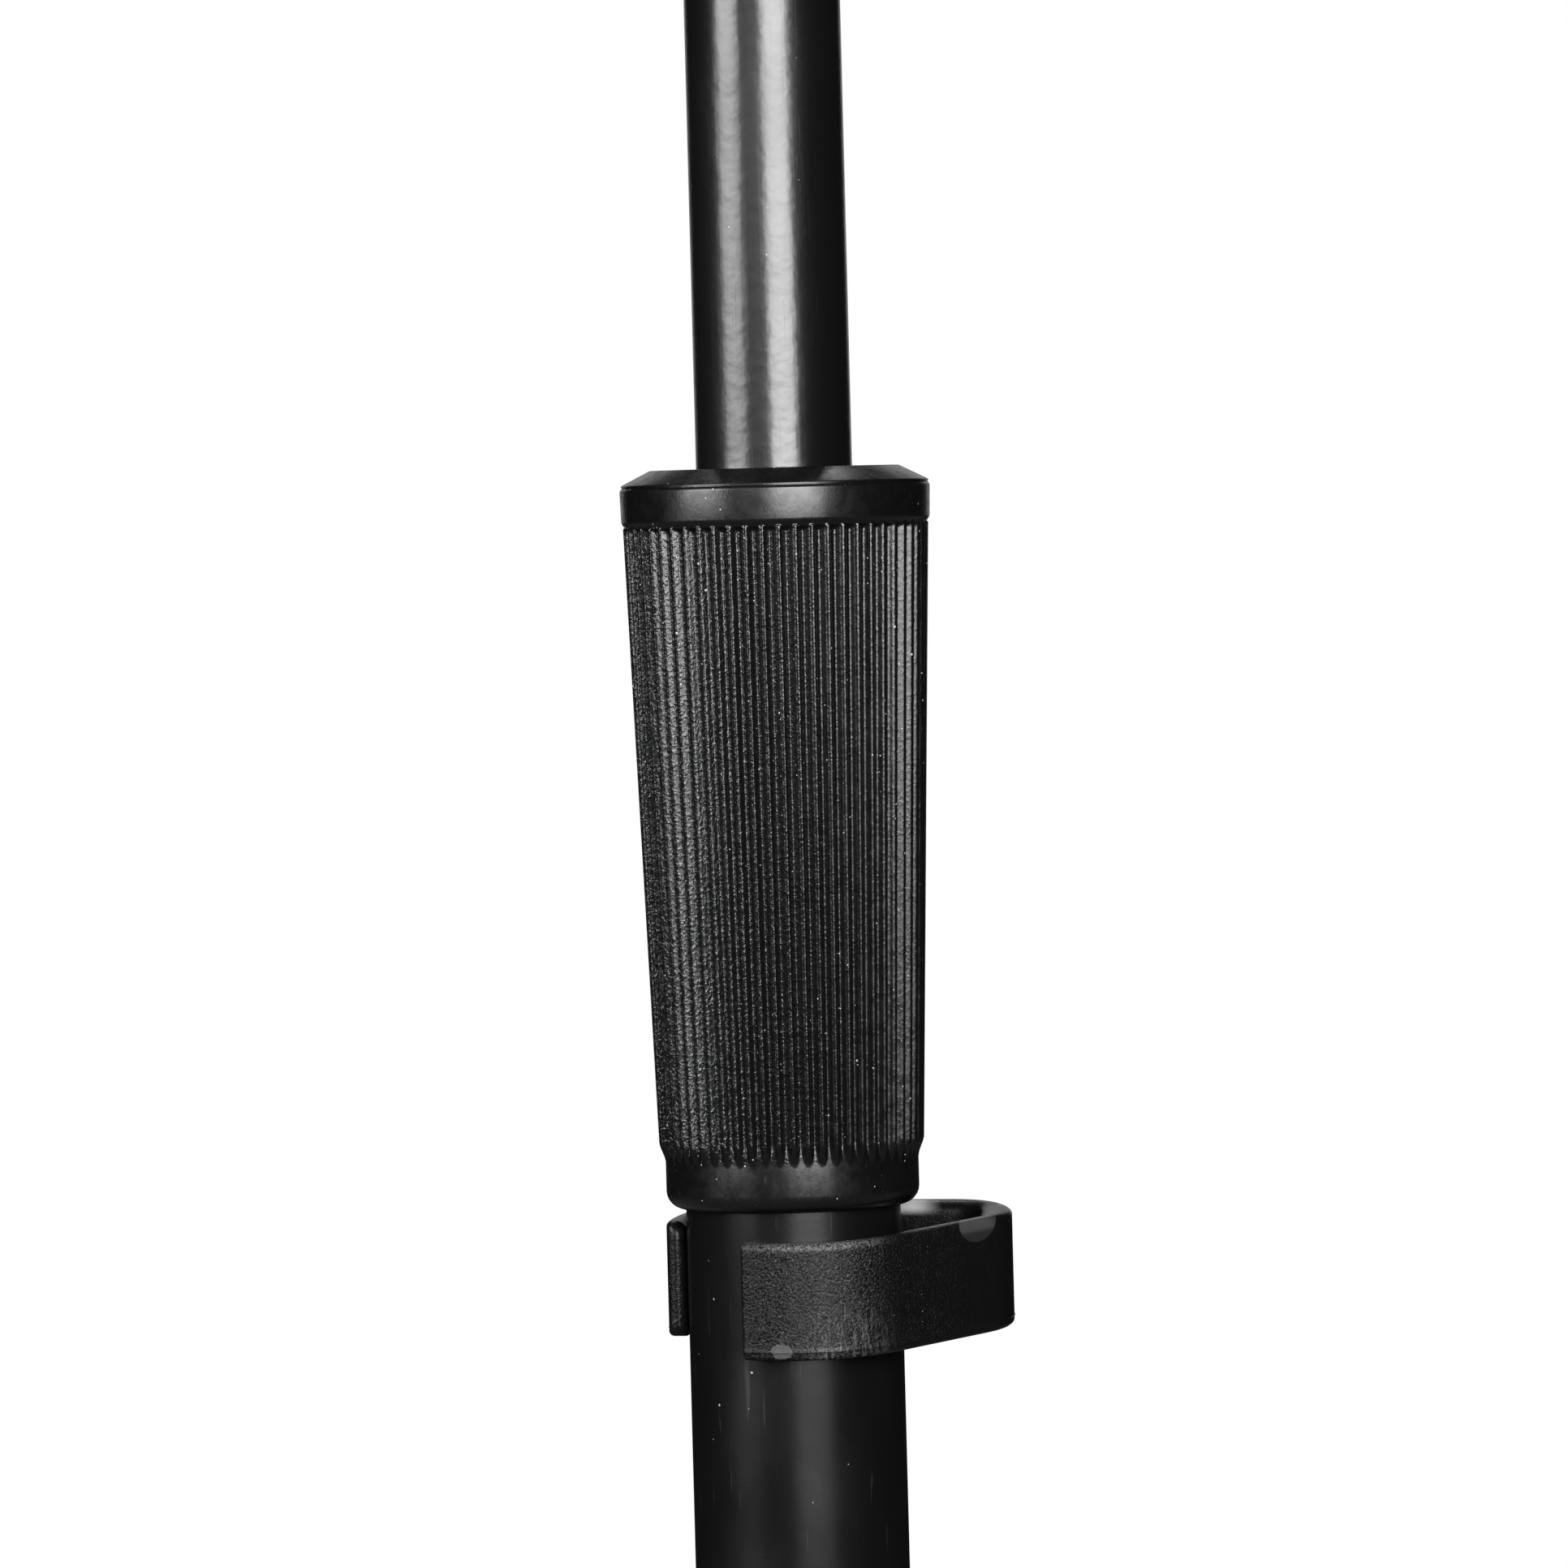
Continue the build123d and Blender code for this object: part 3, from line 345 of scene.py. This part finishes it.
def clip_marks(m, surface_tone, across, depth, level, front):
    """The clip's colour with its round gate mark, the chip low in front and a painted highlight behind
    the loop.
    """
    gate = m.spot(across, level, (18.8 * MM, 5.8 * MM), (2.0 * MM, 2.2 * MM))
    gate = m.product(gate, m.remap(depth, 1 * MM, -1 * MM))
    upper = m.remap(level, 4.5 * MM, 5.1 * MM)
    gate_tone = m.mix(upper, (0.013, 0.013, 0.0133), (0.035, 0.035, 0.035))
    surface_tone = m.mix(gate, surface_tone, gate_tone)
    ragged = m.math("ADD", across, m.product(m.noise(900, 4.0), 1.2 * MM))
    chip = m.spot(ragged, level, (-1.0 * MM, -4.9 * MM), (1.1 * MM, 0.8 * MM))
    surface_tone = m.mix(m.product(chip, front), surface_tone, (0.045, 0.045, 0.045))
    # Pale patch on the back wall's top inner edge behind the loop: a painted highlight.
    painted_highlight = m.product(
        m.remap(across, 10 * MM, 11.2 * MM),
        m.remap(across, 15.5 * MM, 12 * MM),
        m.remap(level, 4.4 * MM, 5.4 * MM),
        m.remap(depth, 1 * MM, 3 * MM),
    )
    return m.mix(painted_highlight, surface_tone, (0.3, 0.3, 0.3))


def powder_coat():
    """Desk: fine-textured black powder coat."""
    m = Recipe("powder_coat", (0.005, 0.005, 0.0053), 0.42, specular_ior_level=0.3)
    m.bump(m.noise(1400, 4.0, 0.6), 0.04 * MM, 0.6)
    m.bump(m.noise(220, 2.0), 0.05 * MM, 0.3)
    m.mottle(m.noise(30, 4.0), 0.38, 0.46)
    dust = m.specks(140, 0.035, 0.2)
    shade = m.mix(m.remap(m.noise(14, 5.0), 0.35, 0.7), (0.0045, 0.0045, 0.0048), (0.006, 0.006, 0.0063))
    m.colour(dust, shade, (0.12, 0.12, 0.115))
    return m.material


def casting_paint():
    """Hub, head and knuckles: black paint over a slightly rough casting."""
    m = Recipe("casting_paint", CASTING_BLACK, 0.42)
    m.bump(m.noise(600, 4.0, 0.6), 0.08 * MM, 0.6)
    m.bump(m.noise(80, 2.0), 0.15 * MM, 0.3)
    m.mottle(m.noise(120, 4.0), 0.34, 0.5)
    edge = m.node("ShaderNodeNewGeometry").outputs["Pointiness"]
    wear = m.product(m.remap(edge, 0.54, 0.62), m.remap(m.noise(260, 4.0), 0.5, 0.62))
    m.colour(wear, CASTING_BLACK, (0.09, 0.09, 0.09))
    return m.material


def black_oxide():
    """Rivets and pins."""
    m = Recipe("black_oxide", (0.02, 0.02, 0.021), 0.34, metallic=0.6)
    m.bump(m.noise(1800, 3.0), 0.02 * MM, 0.5)
    m.mottle(m.noise(700, 3.0), 0.26, 0.44)
    m.colour(m.noise(500, 3.0), (0.016, 0.016, 0.017), (0.05, 0.048, 0.045))
    return m.material


def plated_steel():
    """Zinc-plated screws and washers, with turning marks."""
    m = Recipe("plated_steel", (0.62, 0.62, 0.6), 0.3, metallic=1.0)
    m.bump(m.noise(4200, 2.0), 0.006 * MM, 0.6)
    m.mottle(m.noise(900, 4.0), 0.22, 0.42)
    m.colour(m.noise(350, 4.0), (0.5, 0.5, 0.49), (0.7, 0.69, 0.64))
    return m.material


def brass():
    """Turned insert of the knob."""
    m = Recipe("brass", (0.7, 0.5, 0.2), 0.3, metallic=1.0)
    m.bump(m.noise(3200, 2.0), 0.008 * MM, 0.6)
    m.mottle(m.noise(900, 4.0), 0.24, 0.4)
    m.colour(m.noise(400, 4.0), (0.55, 0.38, 0.14), (0.78, 0.58, 0.26))
    return m.material


def acetal():
    """Bush and collet."""
    m = Recipe("acetal", (0.72, 0.71, 0.66), 0.4, subsurface_weight=0.1)
    m.bump(m.noise(2400, 3.0), 0.01 * MM, 0.5)
    m.mottle(m.noise(600, 3.0), 0.34, 0.48)
    m.colour(m.noise(240, 4.0), (0.66, 0.64, 0.58), (0.76, 0.75, 0.7))
    return m.material


def fibre():
    """Friction washers of pressed brown fibre."""
    m = Recipe("fibre", (0.22, 0.1, 0.05), 0.75)
    m.bump(m.noise(2600, 5.0, 0.7), 0.05 * MM, 0.8)
    m.mottle(m.noise(900, 3.0), 0.65, 0.85)
    m.colour(m.noise(1500, 5.0, 0.7), (0.15, 0.065, 0.03), (0.3, 0.14, 0.07))
    return m.material


def foot_rubber():
    """Moulded rubber with dust in its grain."""
    m = Recipe("foot_rubber", RUBBER_BLACK, 0.7)
    grain = m.noise(1300, 5.0, 0.65)
    m.bump(grain, 0.08 * MM, 0.7)
    m.mottle(m.noise(300, 3.0), 0.6, 0.82)
    dust = m.product(m.remap(grain, 0.55, 0.7), m.remap(m.axis("Z"), 18 * MM, 2 * MM), 0.6)
    m.colour(dust, RUBBER_BLACK, (0.12, 0.115, 0.105))
    return m.material


def knob_plastic():
    """Tilt knob: grainy black plastic, paler on its edges."""
    m = Recipe("knob_plastic", (0.013, 0.013, 0.013), 0.45)
    m.bump(m.noise(2200, 4.0, 0.65), 0.04 * MM, 0.6)
    m.mottle(m.noise(500, 3.0), 0.38, 0.52)
    edge = m.node("ShaderNodeNewGeometry").outputs["Pointiness"]
    m.colour(m.remap(edge, 0.53, 0.62), (0.012, 0.012, 0.012), (0.04, 0.04, 0.04))
    return m.material


# ================================================================ mesh helpers


def smooth(obj, angle):
    """Smooth shading that keeps creases sharper than the angle in degrees, and flat faces flat."""
    obj.data.shade_smooth()
    obj.data.set_sharp_from_angle(angle=math.radians(angle))


def flatten_normals(obj):
    """Large faces keep their own normal beside small rounded edges."""
    modifier = obj.modifiers.new("weighted_normals", "WEIGHTED_NORMAL")
    modifier.mode = "FACE_AREA"
    modifier.keep_sharp = True


def add_piece(name, verts, faces, body, material, nodes, angle):
    """A new piece from points and faces, riding on a body and standing for CAD nodes."""
    mesh = bpy.data.meshes.new(name)
    mesh.from_pydata(verts, [], faces)
    mesh.update()
    obj = bpy.data.objects.new(name, mesh)
    bpy.context.scene.collection.objects.link(obj)
    mesh.materials.append(material)
    smooth(obj, angle)
    flatten_normals(obj)
    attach(obj, body)
    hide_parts(*nodes)


def ring_faces(rings, columns, joined):
    """Quads between successive rings of points; joined also links the last ring to the first."""
    faces = []
    last = rings if joined else rings - 1
    for i in range(last):
        here = i * columns
        there = ((i + 1) % rings) * columns
        for j in range(columns):
            k = (j + 1) % columns
            faces.append((here + j, here + k, there + k, there + j))
    return faces


def filleted(corners, steps):
    """Closed outline with each (x, y, radius) corner rounded by an arc of this many steps."""
    outline = []
    count = len(corners)
    for i, (x, y, radius) in enumerate(corners):
        here = Vector((x, y))
        before = (Vector(corners[i - 1][:2]) - here).normalized()
        after = (Vector(corners[(i + 1) % count][:2]) - here).normalized()
        if radius <= 0:
            outline.append(here)
            continue
        half = before.angle(after) / 2
        reach = radius / math.tan(half)
        centre = here + (before + after).normalized() * (radius / math.sin(half))
        start = here + before * reach - centre
        end = here + after * reach - centre
        sweep = start.angle_signed(end)
        for step in range(steps + 1):
            turn = Matrix.Rotation(-sweep * step / steps, 2)
            outline.append(centre + turn @ start)
    return outline


# ================================================================ column

TUBE_SEGMENTS = 256
TUBE_EDGE = 0.25 * MM
TUBE_EDGE_STEPS = 3
TUBE_CREASE = 35
UPPER_WALL = 1.2 * MM
LOWER_WALL = 1.5 * MM


def make_tubes(gloss, satin):
    """Both tubes at a fineness that stays round close up."""
    for name, body, wall, material, slot in (
        ("upper_tube", "mast", UPPER_WALL, gloss, "upper_tube_gloss"),
        ("lower_tube", "column", LOWER_WALL, satin, "lower_tube_satin"),
    ):
        low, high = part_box(name)
        outer = high.x
        corners = [
            (outer - wall, low.z, TUBE_EDGE),
            (outer, low.z, TUBE_EDGE),
            (outer, high.z, TUBE_EDGE),
            (outer - wall, high.z, TUBE_EDGE),
        ]
        outline = filleted(corners, TUBE_EDGE_STEPS)
        verts = []
        for radius, height in outline:
            for j in range(TUBE_SEGMENTS):
                a = TAU * j / TUBE_SEGMENTS
                verts.append((radius * math.cos(a), radius * math.sin(a), height))
        faces = ring_faces(len(outline), TUBE_SEGMENTS, True)
        add_piece(f"{name}_shell", verts, faces, body, material, (name,), TUBE_CREASE)


# ================================================================ clutch grip

# Section of a rib: a steep side and a wide one, each with rounded crest and valley
RIBS = 57
RIB_COLUMNS = 16
RIB_DEPTH = 0.665 * MM
RIB_FLANK = math.radians(55)
RIB_STEEP_SHARE = 0.43
RIB_STEEP_ROUND = 0.35
RIB_WIDE_ROUND = 0.5
RIB_PHASE = 0.06

# Course of the ribs: they start, end their taper and stop at these depths below the cap's top face
RIB_START = 5.75 * MM
RIB_TAPER_END = 68.6 * MM
RIB_STOP = 71.0 * MM
RIB_NECK_R = 15.52 * MM
RIB_TOP_R = 15.64 * MM
RIB_END_R = 13.6 * MM

# They leave the neck over a short length, longer in the valleys, and valleys reach the collar sooner
RIB_RISE = 0.2 * MM
RIB_RISE_IN_VALLEY = 0.45 * MM
RIB_NOSE_SHORTENING = 0.45

# Spacing of the grip's rows of points where the ribs rise, along them and where they run out
ROWS_RISE = 0.65 * MM
ROW_RISE_STEP = 0.065 * MM
ROW_LONG_STEP = 7.7 * MM
ROW_LONG_CLEAR = 8 * MM
ROW_NOSE_STEP = 0.11 * MM

# Collar and bore of the grip
COLLAR_R = 12.97 * MM
COLLAR_ROUND = 1.8 * MM
GRIP_BORE_R = 8.1 * MM
GRIP_SEAT_R = 9.0 * MM
GRIP_SEAT_DEPTH = 31 * MM
GRIP_SOCKET_R = 11.1 * MM
GRIP_SOCKET_DEPTH = 30 * MM
GRIP_MOUTH_ROUND = 0.25 * MM

CAP_ROUND_STEPS = 5
COLLAR_ROUND_STEPS = 6
GRIP_CREASE = 60


def ease(t):
    """Half a cosine wave from 0 to 1."""
    return 0.5 - 0.5 * math.cos(math.pi * min(max(t, 0.0), 1.0))


def rib_fall(t, rounding):
    """Fall from a crest (t = 0) to a valley (t = 1) as a share: arc, straight flank, arc.

    The arcs' radius is given as a share of the width from crest to valley.
    """
    if t > 0.5:
        return 1 - rib_fall(1 - t, rounding)
    bend = rounding * math.sin(RIB_FLANK)
    whole = 2 * rounding * (1 - math.cos(RIB_FLANK)) + (1 - 2 * bend) * math.tan(RIB_FLANK)
    if t < bend:
        return (rounding - math.sqrt(rounding**2 - t**2)) / whole
    return 0.5 - (0.5 - t) * math.tan(RIB_FLANK) / whole


def rib_radius(turn, drop):
    """Radius of the ribbed part; turn is 0..1 round the grip and drop is below the cap's top face."""
    share = (drop - RIB_START) / (RIB_TAPER_END - RIB_START)
    crest_r = RIB_TOP_R + (RIB_END_R - RIB_TOP_R) * min(share, 1.0)
    along = (turn * RIBS + RIB_PHASE) % 1.0
    if along < RIB_STEEP_SHARE:
        across = along / RIB_STEEP_SHARE
        fall = rib_fall(across, RIB_STEEP_ROUND)
    else:
        across = (1 - along) / (1 - RIB_STEEP_SHARE)
        fall = rib_fall(across, RIB_WIDE_ROUND)
    carved_r = crest_r - RIB_DEPTH * fall
    rise = RIB_RISE + RIB_RISE_IN_VALLEY * across
    if drop < RIB_START + rise:
        return RIB_NECK_R + (carved_r - RIB_NECK_R) * ease((drop - RIB_START) / rise)
    if drop <= RIB_TAPER_END:
        return carved_r
    nose = (drop - RIB_TAPER_END) / (RIB_STOP - RIB_TAPER_END)
    return COLLAR_R + (carved_r - COLLAR_R) * (1 - ease(nose / (1 - RIB_NOSE_SHORTENING * across**2)))


def grip_rows():
    """Rows from the bore at the top, down the outside and back up the bore: (radius or None, drop)."""
    # Cap: top face, chamfer, a fine groove under it, wall and undercut, as (radius, drop, rounding)
    top_corners = [
        (GRIP_BORE_R, 0.0, 0),
        (12.75 * MM, 0.0, 0.4 * MM),
        (15.74 * MM, 1.5 * MM, 0.25 * MM),
        (15.76 * MM, 1.66 * MM, 0),
        (15.68 * MM, 1.7 * MM, 0),
        (15.68 * MM, 1.78 * MM, 0),
        (15.9 * MM, 1.86 * MM, 0.5 * MM),
        (15.8 * MM, 5.3 * MM, 0.7 * MM),
        (RIB_NECK_R, RIB_START, 0),
        (GRIP_BORE_R, RIB_START, 0),
    ]
    # The last two corners only close the outline
    rows = [tuple(point) for point in filleted(top_corners, CAP_ROUND_STEPS)[:-2]]
    drop = RIB_START
    while drop < RIB_STOP:
        rows.append((None, drop))
        if drop < RIB_START + ROWS_RISE:
            drop += ROW_RISE_STEP
        elif drop < RIB_TAPER_END - ROW_LONG_CLEAR:
            drop += ROW_LONG_STEP
        else:
            drop = max(drop + ROW_NOSE_STEP, RIB_TAPER_END)
    height = GRIP_TOP - GRIP_LOW.z
    low_corners = [
        (GRIP_SEAT_R, RIB_STOP, 0),
        (COLLAR_R, RIB_STOP, 0),
        (COLLAR_R, height, COLLAR_ROUND),
        (GRIP_SOCKET_R, height, GRIP_MOUTH_ROUND),
        (GRIP_SOCKET_R, height - GRIP_SOCKET_DEPTH, 0),
        (GRIP_SEAT_R, height - GRIP_SOCKET_DEPTH, 0),
    ]
    # The first corner only closes the outline
    rows += [tuple(point) for point in filleted(low_corners, COLLAR_ROUND_STEPS)[1:]]
    rows.append((GRIP_BORE_R, height - GRIP_SEAT_DEPTH))
    return rows


def make_grip(plastic):
    """Cap, ribs and collar as one closed surface with the bore."""
    columns = RIBS * RIB_COLUMNS
    verts = []
    for radius, drop in grip_rows():
        for j in range(columns):
            turn = j / columns
            r = rib_radius(turn, drop) if radius is None else radius
            a = TAU * turn
            verts.append((r * math.cos(a), r * math.sin(a), GRIP_TOP - drop))
    faces = ring_faces(len(verts) // columns, columns, True)
    stands_for = ("grip_sleeve",)
    add_piece("grip_sleeve_ribbed", verts, faces, "grip", plastic, stands_for, GRIP_CREASE)


# ================================================================ cable clip

# The wall's path: round the tube, off along the front flank, round the loop's tip and back to the tube
CLIP_OUTER_R = 13.3 * MM
CLIP_STRETCH = 1.3 * MM
CLIP_FRONT_LAP = math.radians(25.0)
CLIP_FLANK = math.radians(42.5)
CLIP_FLANK_LENGTH = 13.8 * MM
CLIP_TIP_R = 6.5 * MM
CLIP_BACK_STOP = math.radians(176.0)
CLIP_POINT_SPACING = 0.22 * MM
CLIP_ARC_LEAST_R = 4 * MM

# The wall's section
CLIP_WALL = 2.25 * MM
CLIP_HEIGHT = 11.8 * MM
CLIP_OUTER_ROUND = 0.55 * MM
CLIP_TOP_INNER_ROUND = 1.2 * MM
CLIP_LOW_INNER_ROUND = 0.45 * MM
CLIP_ROUND_STEPS = 5
CLIP_SECTION_SPACING = 0.4 * MM
CLIP_CREASE = 50

# A fine moulding line stands out low on the outer side: its foot, its height and the edges of its face
CLIP_LINE_RISE = 0.85 * MM
CLIP_LINE_STEP = 0.04 * MM
CLIP_LINE_FACE = (0.04 * MM, 0.11 * MM)
CLIP_LINE_TOP = 0.15 * MM

# Its ends, and the thicker wall round the cable loop
CLIP_FRONT_ROUND = 0.3 * MM
CLIP_BACK_ROUND_SHARE = 0.98
CLIP_LOOP_THICKENING = 1.25 * MM
CLIP_LOOP_REACH = 6 * MM


def polar(centre, radius, angle):
    """Point at an angle and a radius from a centre."""
    return Vector((centre[0] + radius * math.cos(angle), centre[1] + radius * math.sin(angle)))


def clip_path():
    """Middle line of the clip's wall from its front end round the loop: (point, outward direction)."""
    half = CLIP_WALL / 2
    mid_r = CLIP_OUTER_R - half
    tip_r = CLIP_TIP_R - half
    front = -math.pi / 2
    flank = front + CLIP_FLANK
    bend = Vector((CLIP_STRETCH, 0))
    tip = polar(polar(bend, mid_r - tip_r, flank), CLIP_FLANK_LENGTH, flank + math.pi / 2)
    back = math.atan2(tip.y, tip.x) + math.pi / 2 - math.asin((mid_r - tip_r) / tip.length)
    arcs = [
        (Vector((0, 0)), mid_r, front - CLIP_FRONT_LAP, front),
        (bend, mid_r, front, flank),
        (tip, tip_r, flank, back),
        (Vector((0, 0)), mid_r, back, CLIP_BACK_STOP),
    ]
    path = []
    for i, (centre, radius, a, b) in enumerate(arcs):
        steps = max(3, round(abs(b - a) * max(radius, CLIP_ARC_LEAST_R) / CLIP_POINT_SPACING))
        for step in range(steps + 1):
            angle = a + (b - a) * step / steps
            path.append((polar(centre, radius, angle), polar((0, 0), 1.0, angle)))
        if i + 1 < len(arcs):
            here = path[-1][0]
            there = polar(*arcs[i + 1][:3])
            steps = max(1, round((there - here).length / CLIP_POINT_SPACING))
            for step in range(1, steps):
                path.append((here.lerp(there, step / steps), path[-1][1]))
    return path


def clip_section():
    """Outline of the clip's wall as (across, up), with a fine moulding line low on the outer side."""
    half = CLIP_WALL / 2
    rise = CLIP_HEIGHT / math.cos(CLIP_TILT) / 2
    face = half - CLIP_LINE_STEP
    line = -rise + CLIP_LINE_RISE
    low_edge, high_edge = CLIP_LINE_FACE
    corners = [
        (face, -rise, CLIP_OUTER_ROUND),
        (face, line, 0),
        (half, line + low_edge, 0),
        (half, line + high_edge, 0),
        (face, line + CLIP_LINE_TOP, 0),
        (face, rise, CLIP_OUTER_ROUND),
        (-half, rise, CLIP_TOP_INNER_ROUND),
        (-half, -rise, CLIP_LOW_INNER_ROUND),
    ]
    outline = filleted(corners, CLIP_ROUND_STEPS)
    section = []
    for i, here in enumerate(outline):
        there = outline[(i + 1) % len(outline)]
        steps = max(1, round((there - here).length / CLIP_SECTION_SPACING))
        section += [here.lerp(there, step / steps) for step in range(steps)]
    return section


def end_inset(near, radius):
    """How far the wall draws in at this distance from a rounded end."""
    if near >= radius:
        return 0.0
    return radius - math.sqrt(radius**2 - (radius - near) ** 2)


def make_clip(plastic):
    """Wall section swept along the path: rounded at its back end and thicker round the cable loop."""
    half = CLIP_WALL / 2
    rise = CLIP_HEIGHT / math.cos(CLIP_TILT) / 2
    back_round = CLIP_BACK_ROUND_SHARE * half
    section = clip_section()
    path = clip_path()
    lengths = [0.0]
    for (a, _), (b, _) in zip(path, path[1:]):
        lengths.append(lengths[-1] + (b - a).length)
    total = lengths[-1]
    tip = max(range(len(path)), key=lambda i: path[i][0].x)
    verts = []
    for (point, outward), length in zip(path, lengths):
        inset = end_inset(length, CLIP_FRONT_ROUND) + end_inset(total - length, back_round)
        thicker = CLIP_LOOP_THICKENING * (1 - ease(abs(length - lengths[tip]) / CLIP_LOOP_REACH))
        for across, up in section:
            offset = across * (1 - inset / half) - thicker * (half - across) / CLIP_WALL
            x, y = point + outward * offset
            z = CLIP_MID + up * (1 - inset / rise) + y * math.tan(CLIP_TILT)
            verts.append((x, y, z))
    columns = len(section)
    rings = len(path)
    faces = ring_faces(rings, columns, False)
    faces.append(tuple(range(columns))[::-1])
    faces.append(tuple(range((rings - 1) * columns, rings * columns)))
    stands_for = ("cable_clip",)
    add_piece("cable_clip_moulding", verts, faces, "clip", plastic, stands_for, CLIP_CREASE)


# ================================================================ CAD nodes that stay

CAD_CREASE = 30


def dress_nodes(materials):
    """Each CAD node that is still shown gets the material of its slot, with smooth curved faces."""
    slots = {row["node"]: row["material_slot"] for row in frame["record"]["subparts"]}
    for name, obj in frame["nodes"].items():
        if obj.hide_render:
            continue
        obj.data.materials.clear()
        obj.data.materials.append(materials[slots[name]])
        smooth(obj, CAD_CREASE)


# ================================================================ light and world

# The surrounding light grows as its direction goes from a little below level to well below
WORLD_SLOPE = {"From Min": -0.12, "From Max": -0.45, "To Min": 0.008, "To Max": 0.12}


def soft_light(name, azimuth, distance, width, height, power, middle):
    """Upright soft box facing the column; azimuth 0 is on the camera's side and grows to the right."""
    data = bpy.data.lights.new(name, "AREA")
    data.shape = "RECTANGLE"
    data.size = width
    data.size_y = height
    data.energy = power
    light = bpy.data.objects.new(name, data)
    bpy.context.scene.collection.objects.link(light)
    a = math.radians(azimuth)
    light.location = (distance * math.sin(a), -distance * math.cos(a), middle)
    target = Vector((0, 0, middle))
    light.rotation_euler = (target - light.location).to_track_quat("-Z", "Y").to_euler()
    light.visible_camera = False
    return light


def make_lights():
    """Two tall soft boxes in front, a dim one between them, and soft light from behind and above."""
    soft_light("key", azimuth=16, distance=1.7, width=1.12, height=1.3, power=73, middle=1.26)
    soft_light("side", azimuth=-56, distance=1.7, width=0.94, height=1.25, power=42, middle=1.33)
    soft_light("fill", azimuth=-20, distance=1.75, width=0.6, height=1.25, power=3, middle=1.33)
    soft_light("back", azimuth=180, distance=1.4, width=1.2, height=0.9, power=2, middle=1.05)
    soft_light("crown", azimuth=178, distance=0.8, width=0.4, height=0.5, power=2.8, middle=1.73)
    top = soft_light("top", azimuth=0, distance=0.01, width=2.4, height=2.4, power=12, middle=2.9)
    top.rotation_euler = (0, 0, 0)


def make_world():
    """White to the camera; to the object it is dark, with some light coming up from below."""
    world = bpy.data.worlds.new("studio")
    bpy.context.scene.world = world
    world.use_nodes = True
    tree = world.node_tree
    tree.nodes.clear()
    direction = tree.nodes.new("ShaderNodeTexCoord")
    parts = tree.nodes.new("ShaderNodeSeparateXYZ")
    slope = tree.nodes.new("ShaderNodeMapRange")
    slope.interpolation_type = "SMOOTHSTEP"
    for key, value in WORLD_SLOPE.items():
        slope.inputs[key].default_value = value
    dark = tree.nodes.new("ShaderNodeBackground")
    white = tree.nodes.new("ShaderNodeBackground")
    for background in (dark, white):
        background.inputs["Color"].default_value = (1, 1, 1, 1)
    seen = tree.nodes.new("ShaderNodeLightPath")
    mixed = tree.nodes.new("ShaderNodeMixShader")
    output = tree.nodes.new("ShaderNodeOutputWorld")
    tree.links.new(direction.outputs["Generated"], parts.inputs[0])
    tree.links.new(parts.outputs["Z"], slope.inputs["Value"])
    tree.links.new(slope.outputs["Result"], dark.inputs["Strength"])
    tree.links.new(seen.outputs["Is Camera Ray"], mixed.inputs[0])
    tree.links.new(dark.outputs[0], mixed.inputs[1])
    tree.links.new(white.outputs[0], mixed.inputs[2])
    tree.links.new(mixed.outputs[0], output.inputs["Surface"])
    bpy.context.scene.view_settings.view_transform = "Standard"


# ================================================================ build

make_camera()
SATIN = satin_paint()
MATERIALS = {
    "upper_tube_gloss": gloss_paint(),
    "lower_tube_satin": SATIN,
    "grip_plastic": grip_plastic(),
    "clip_plastic": clip_plastic(),
    "bush_plastic": acetal(),
    "fibre_washer": fibre(),
    "knob_plastic": knob_plastic(),
    "zinc_casting": casting_paint(),
    "leg_satin": SATIN,
    "desk_powder": powder_coat(),
    "black_fastener": black_oxide(),
    "plated_steel": plated_steel(),
    "brass_insert": brass(),
    "foot_rubber": foot_rubber(),
}
make_tubes(MATERIALS["upper_tube_gloss"], MATERIALS["lower_tube_satin"])
make_grip(MATERIALS["grip_plastic"])
make_clip(MATERIALS["clip_plastic"])
dress_nodes(MATERIALS)
make_lights()
make_world()
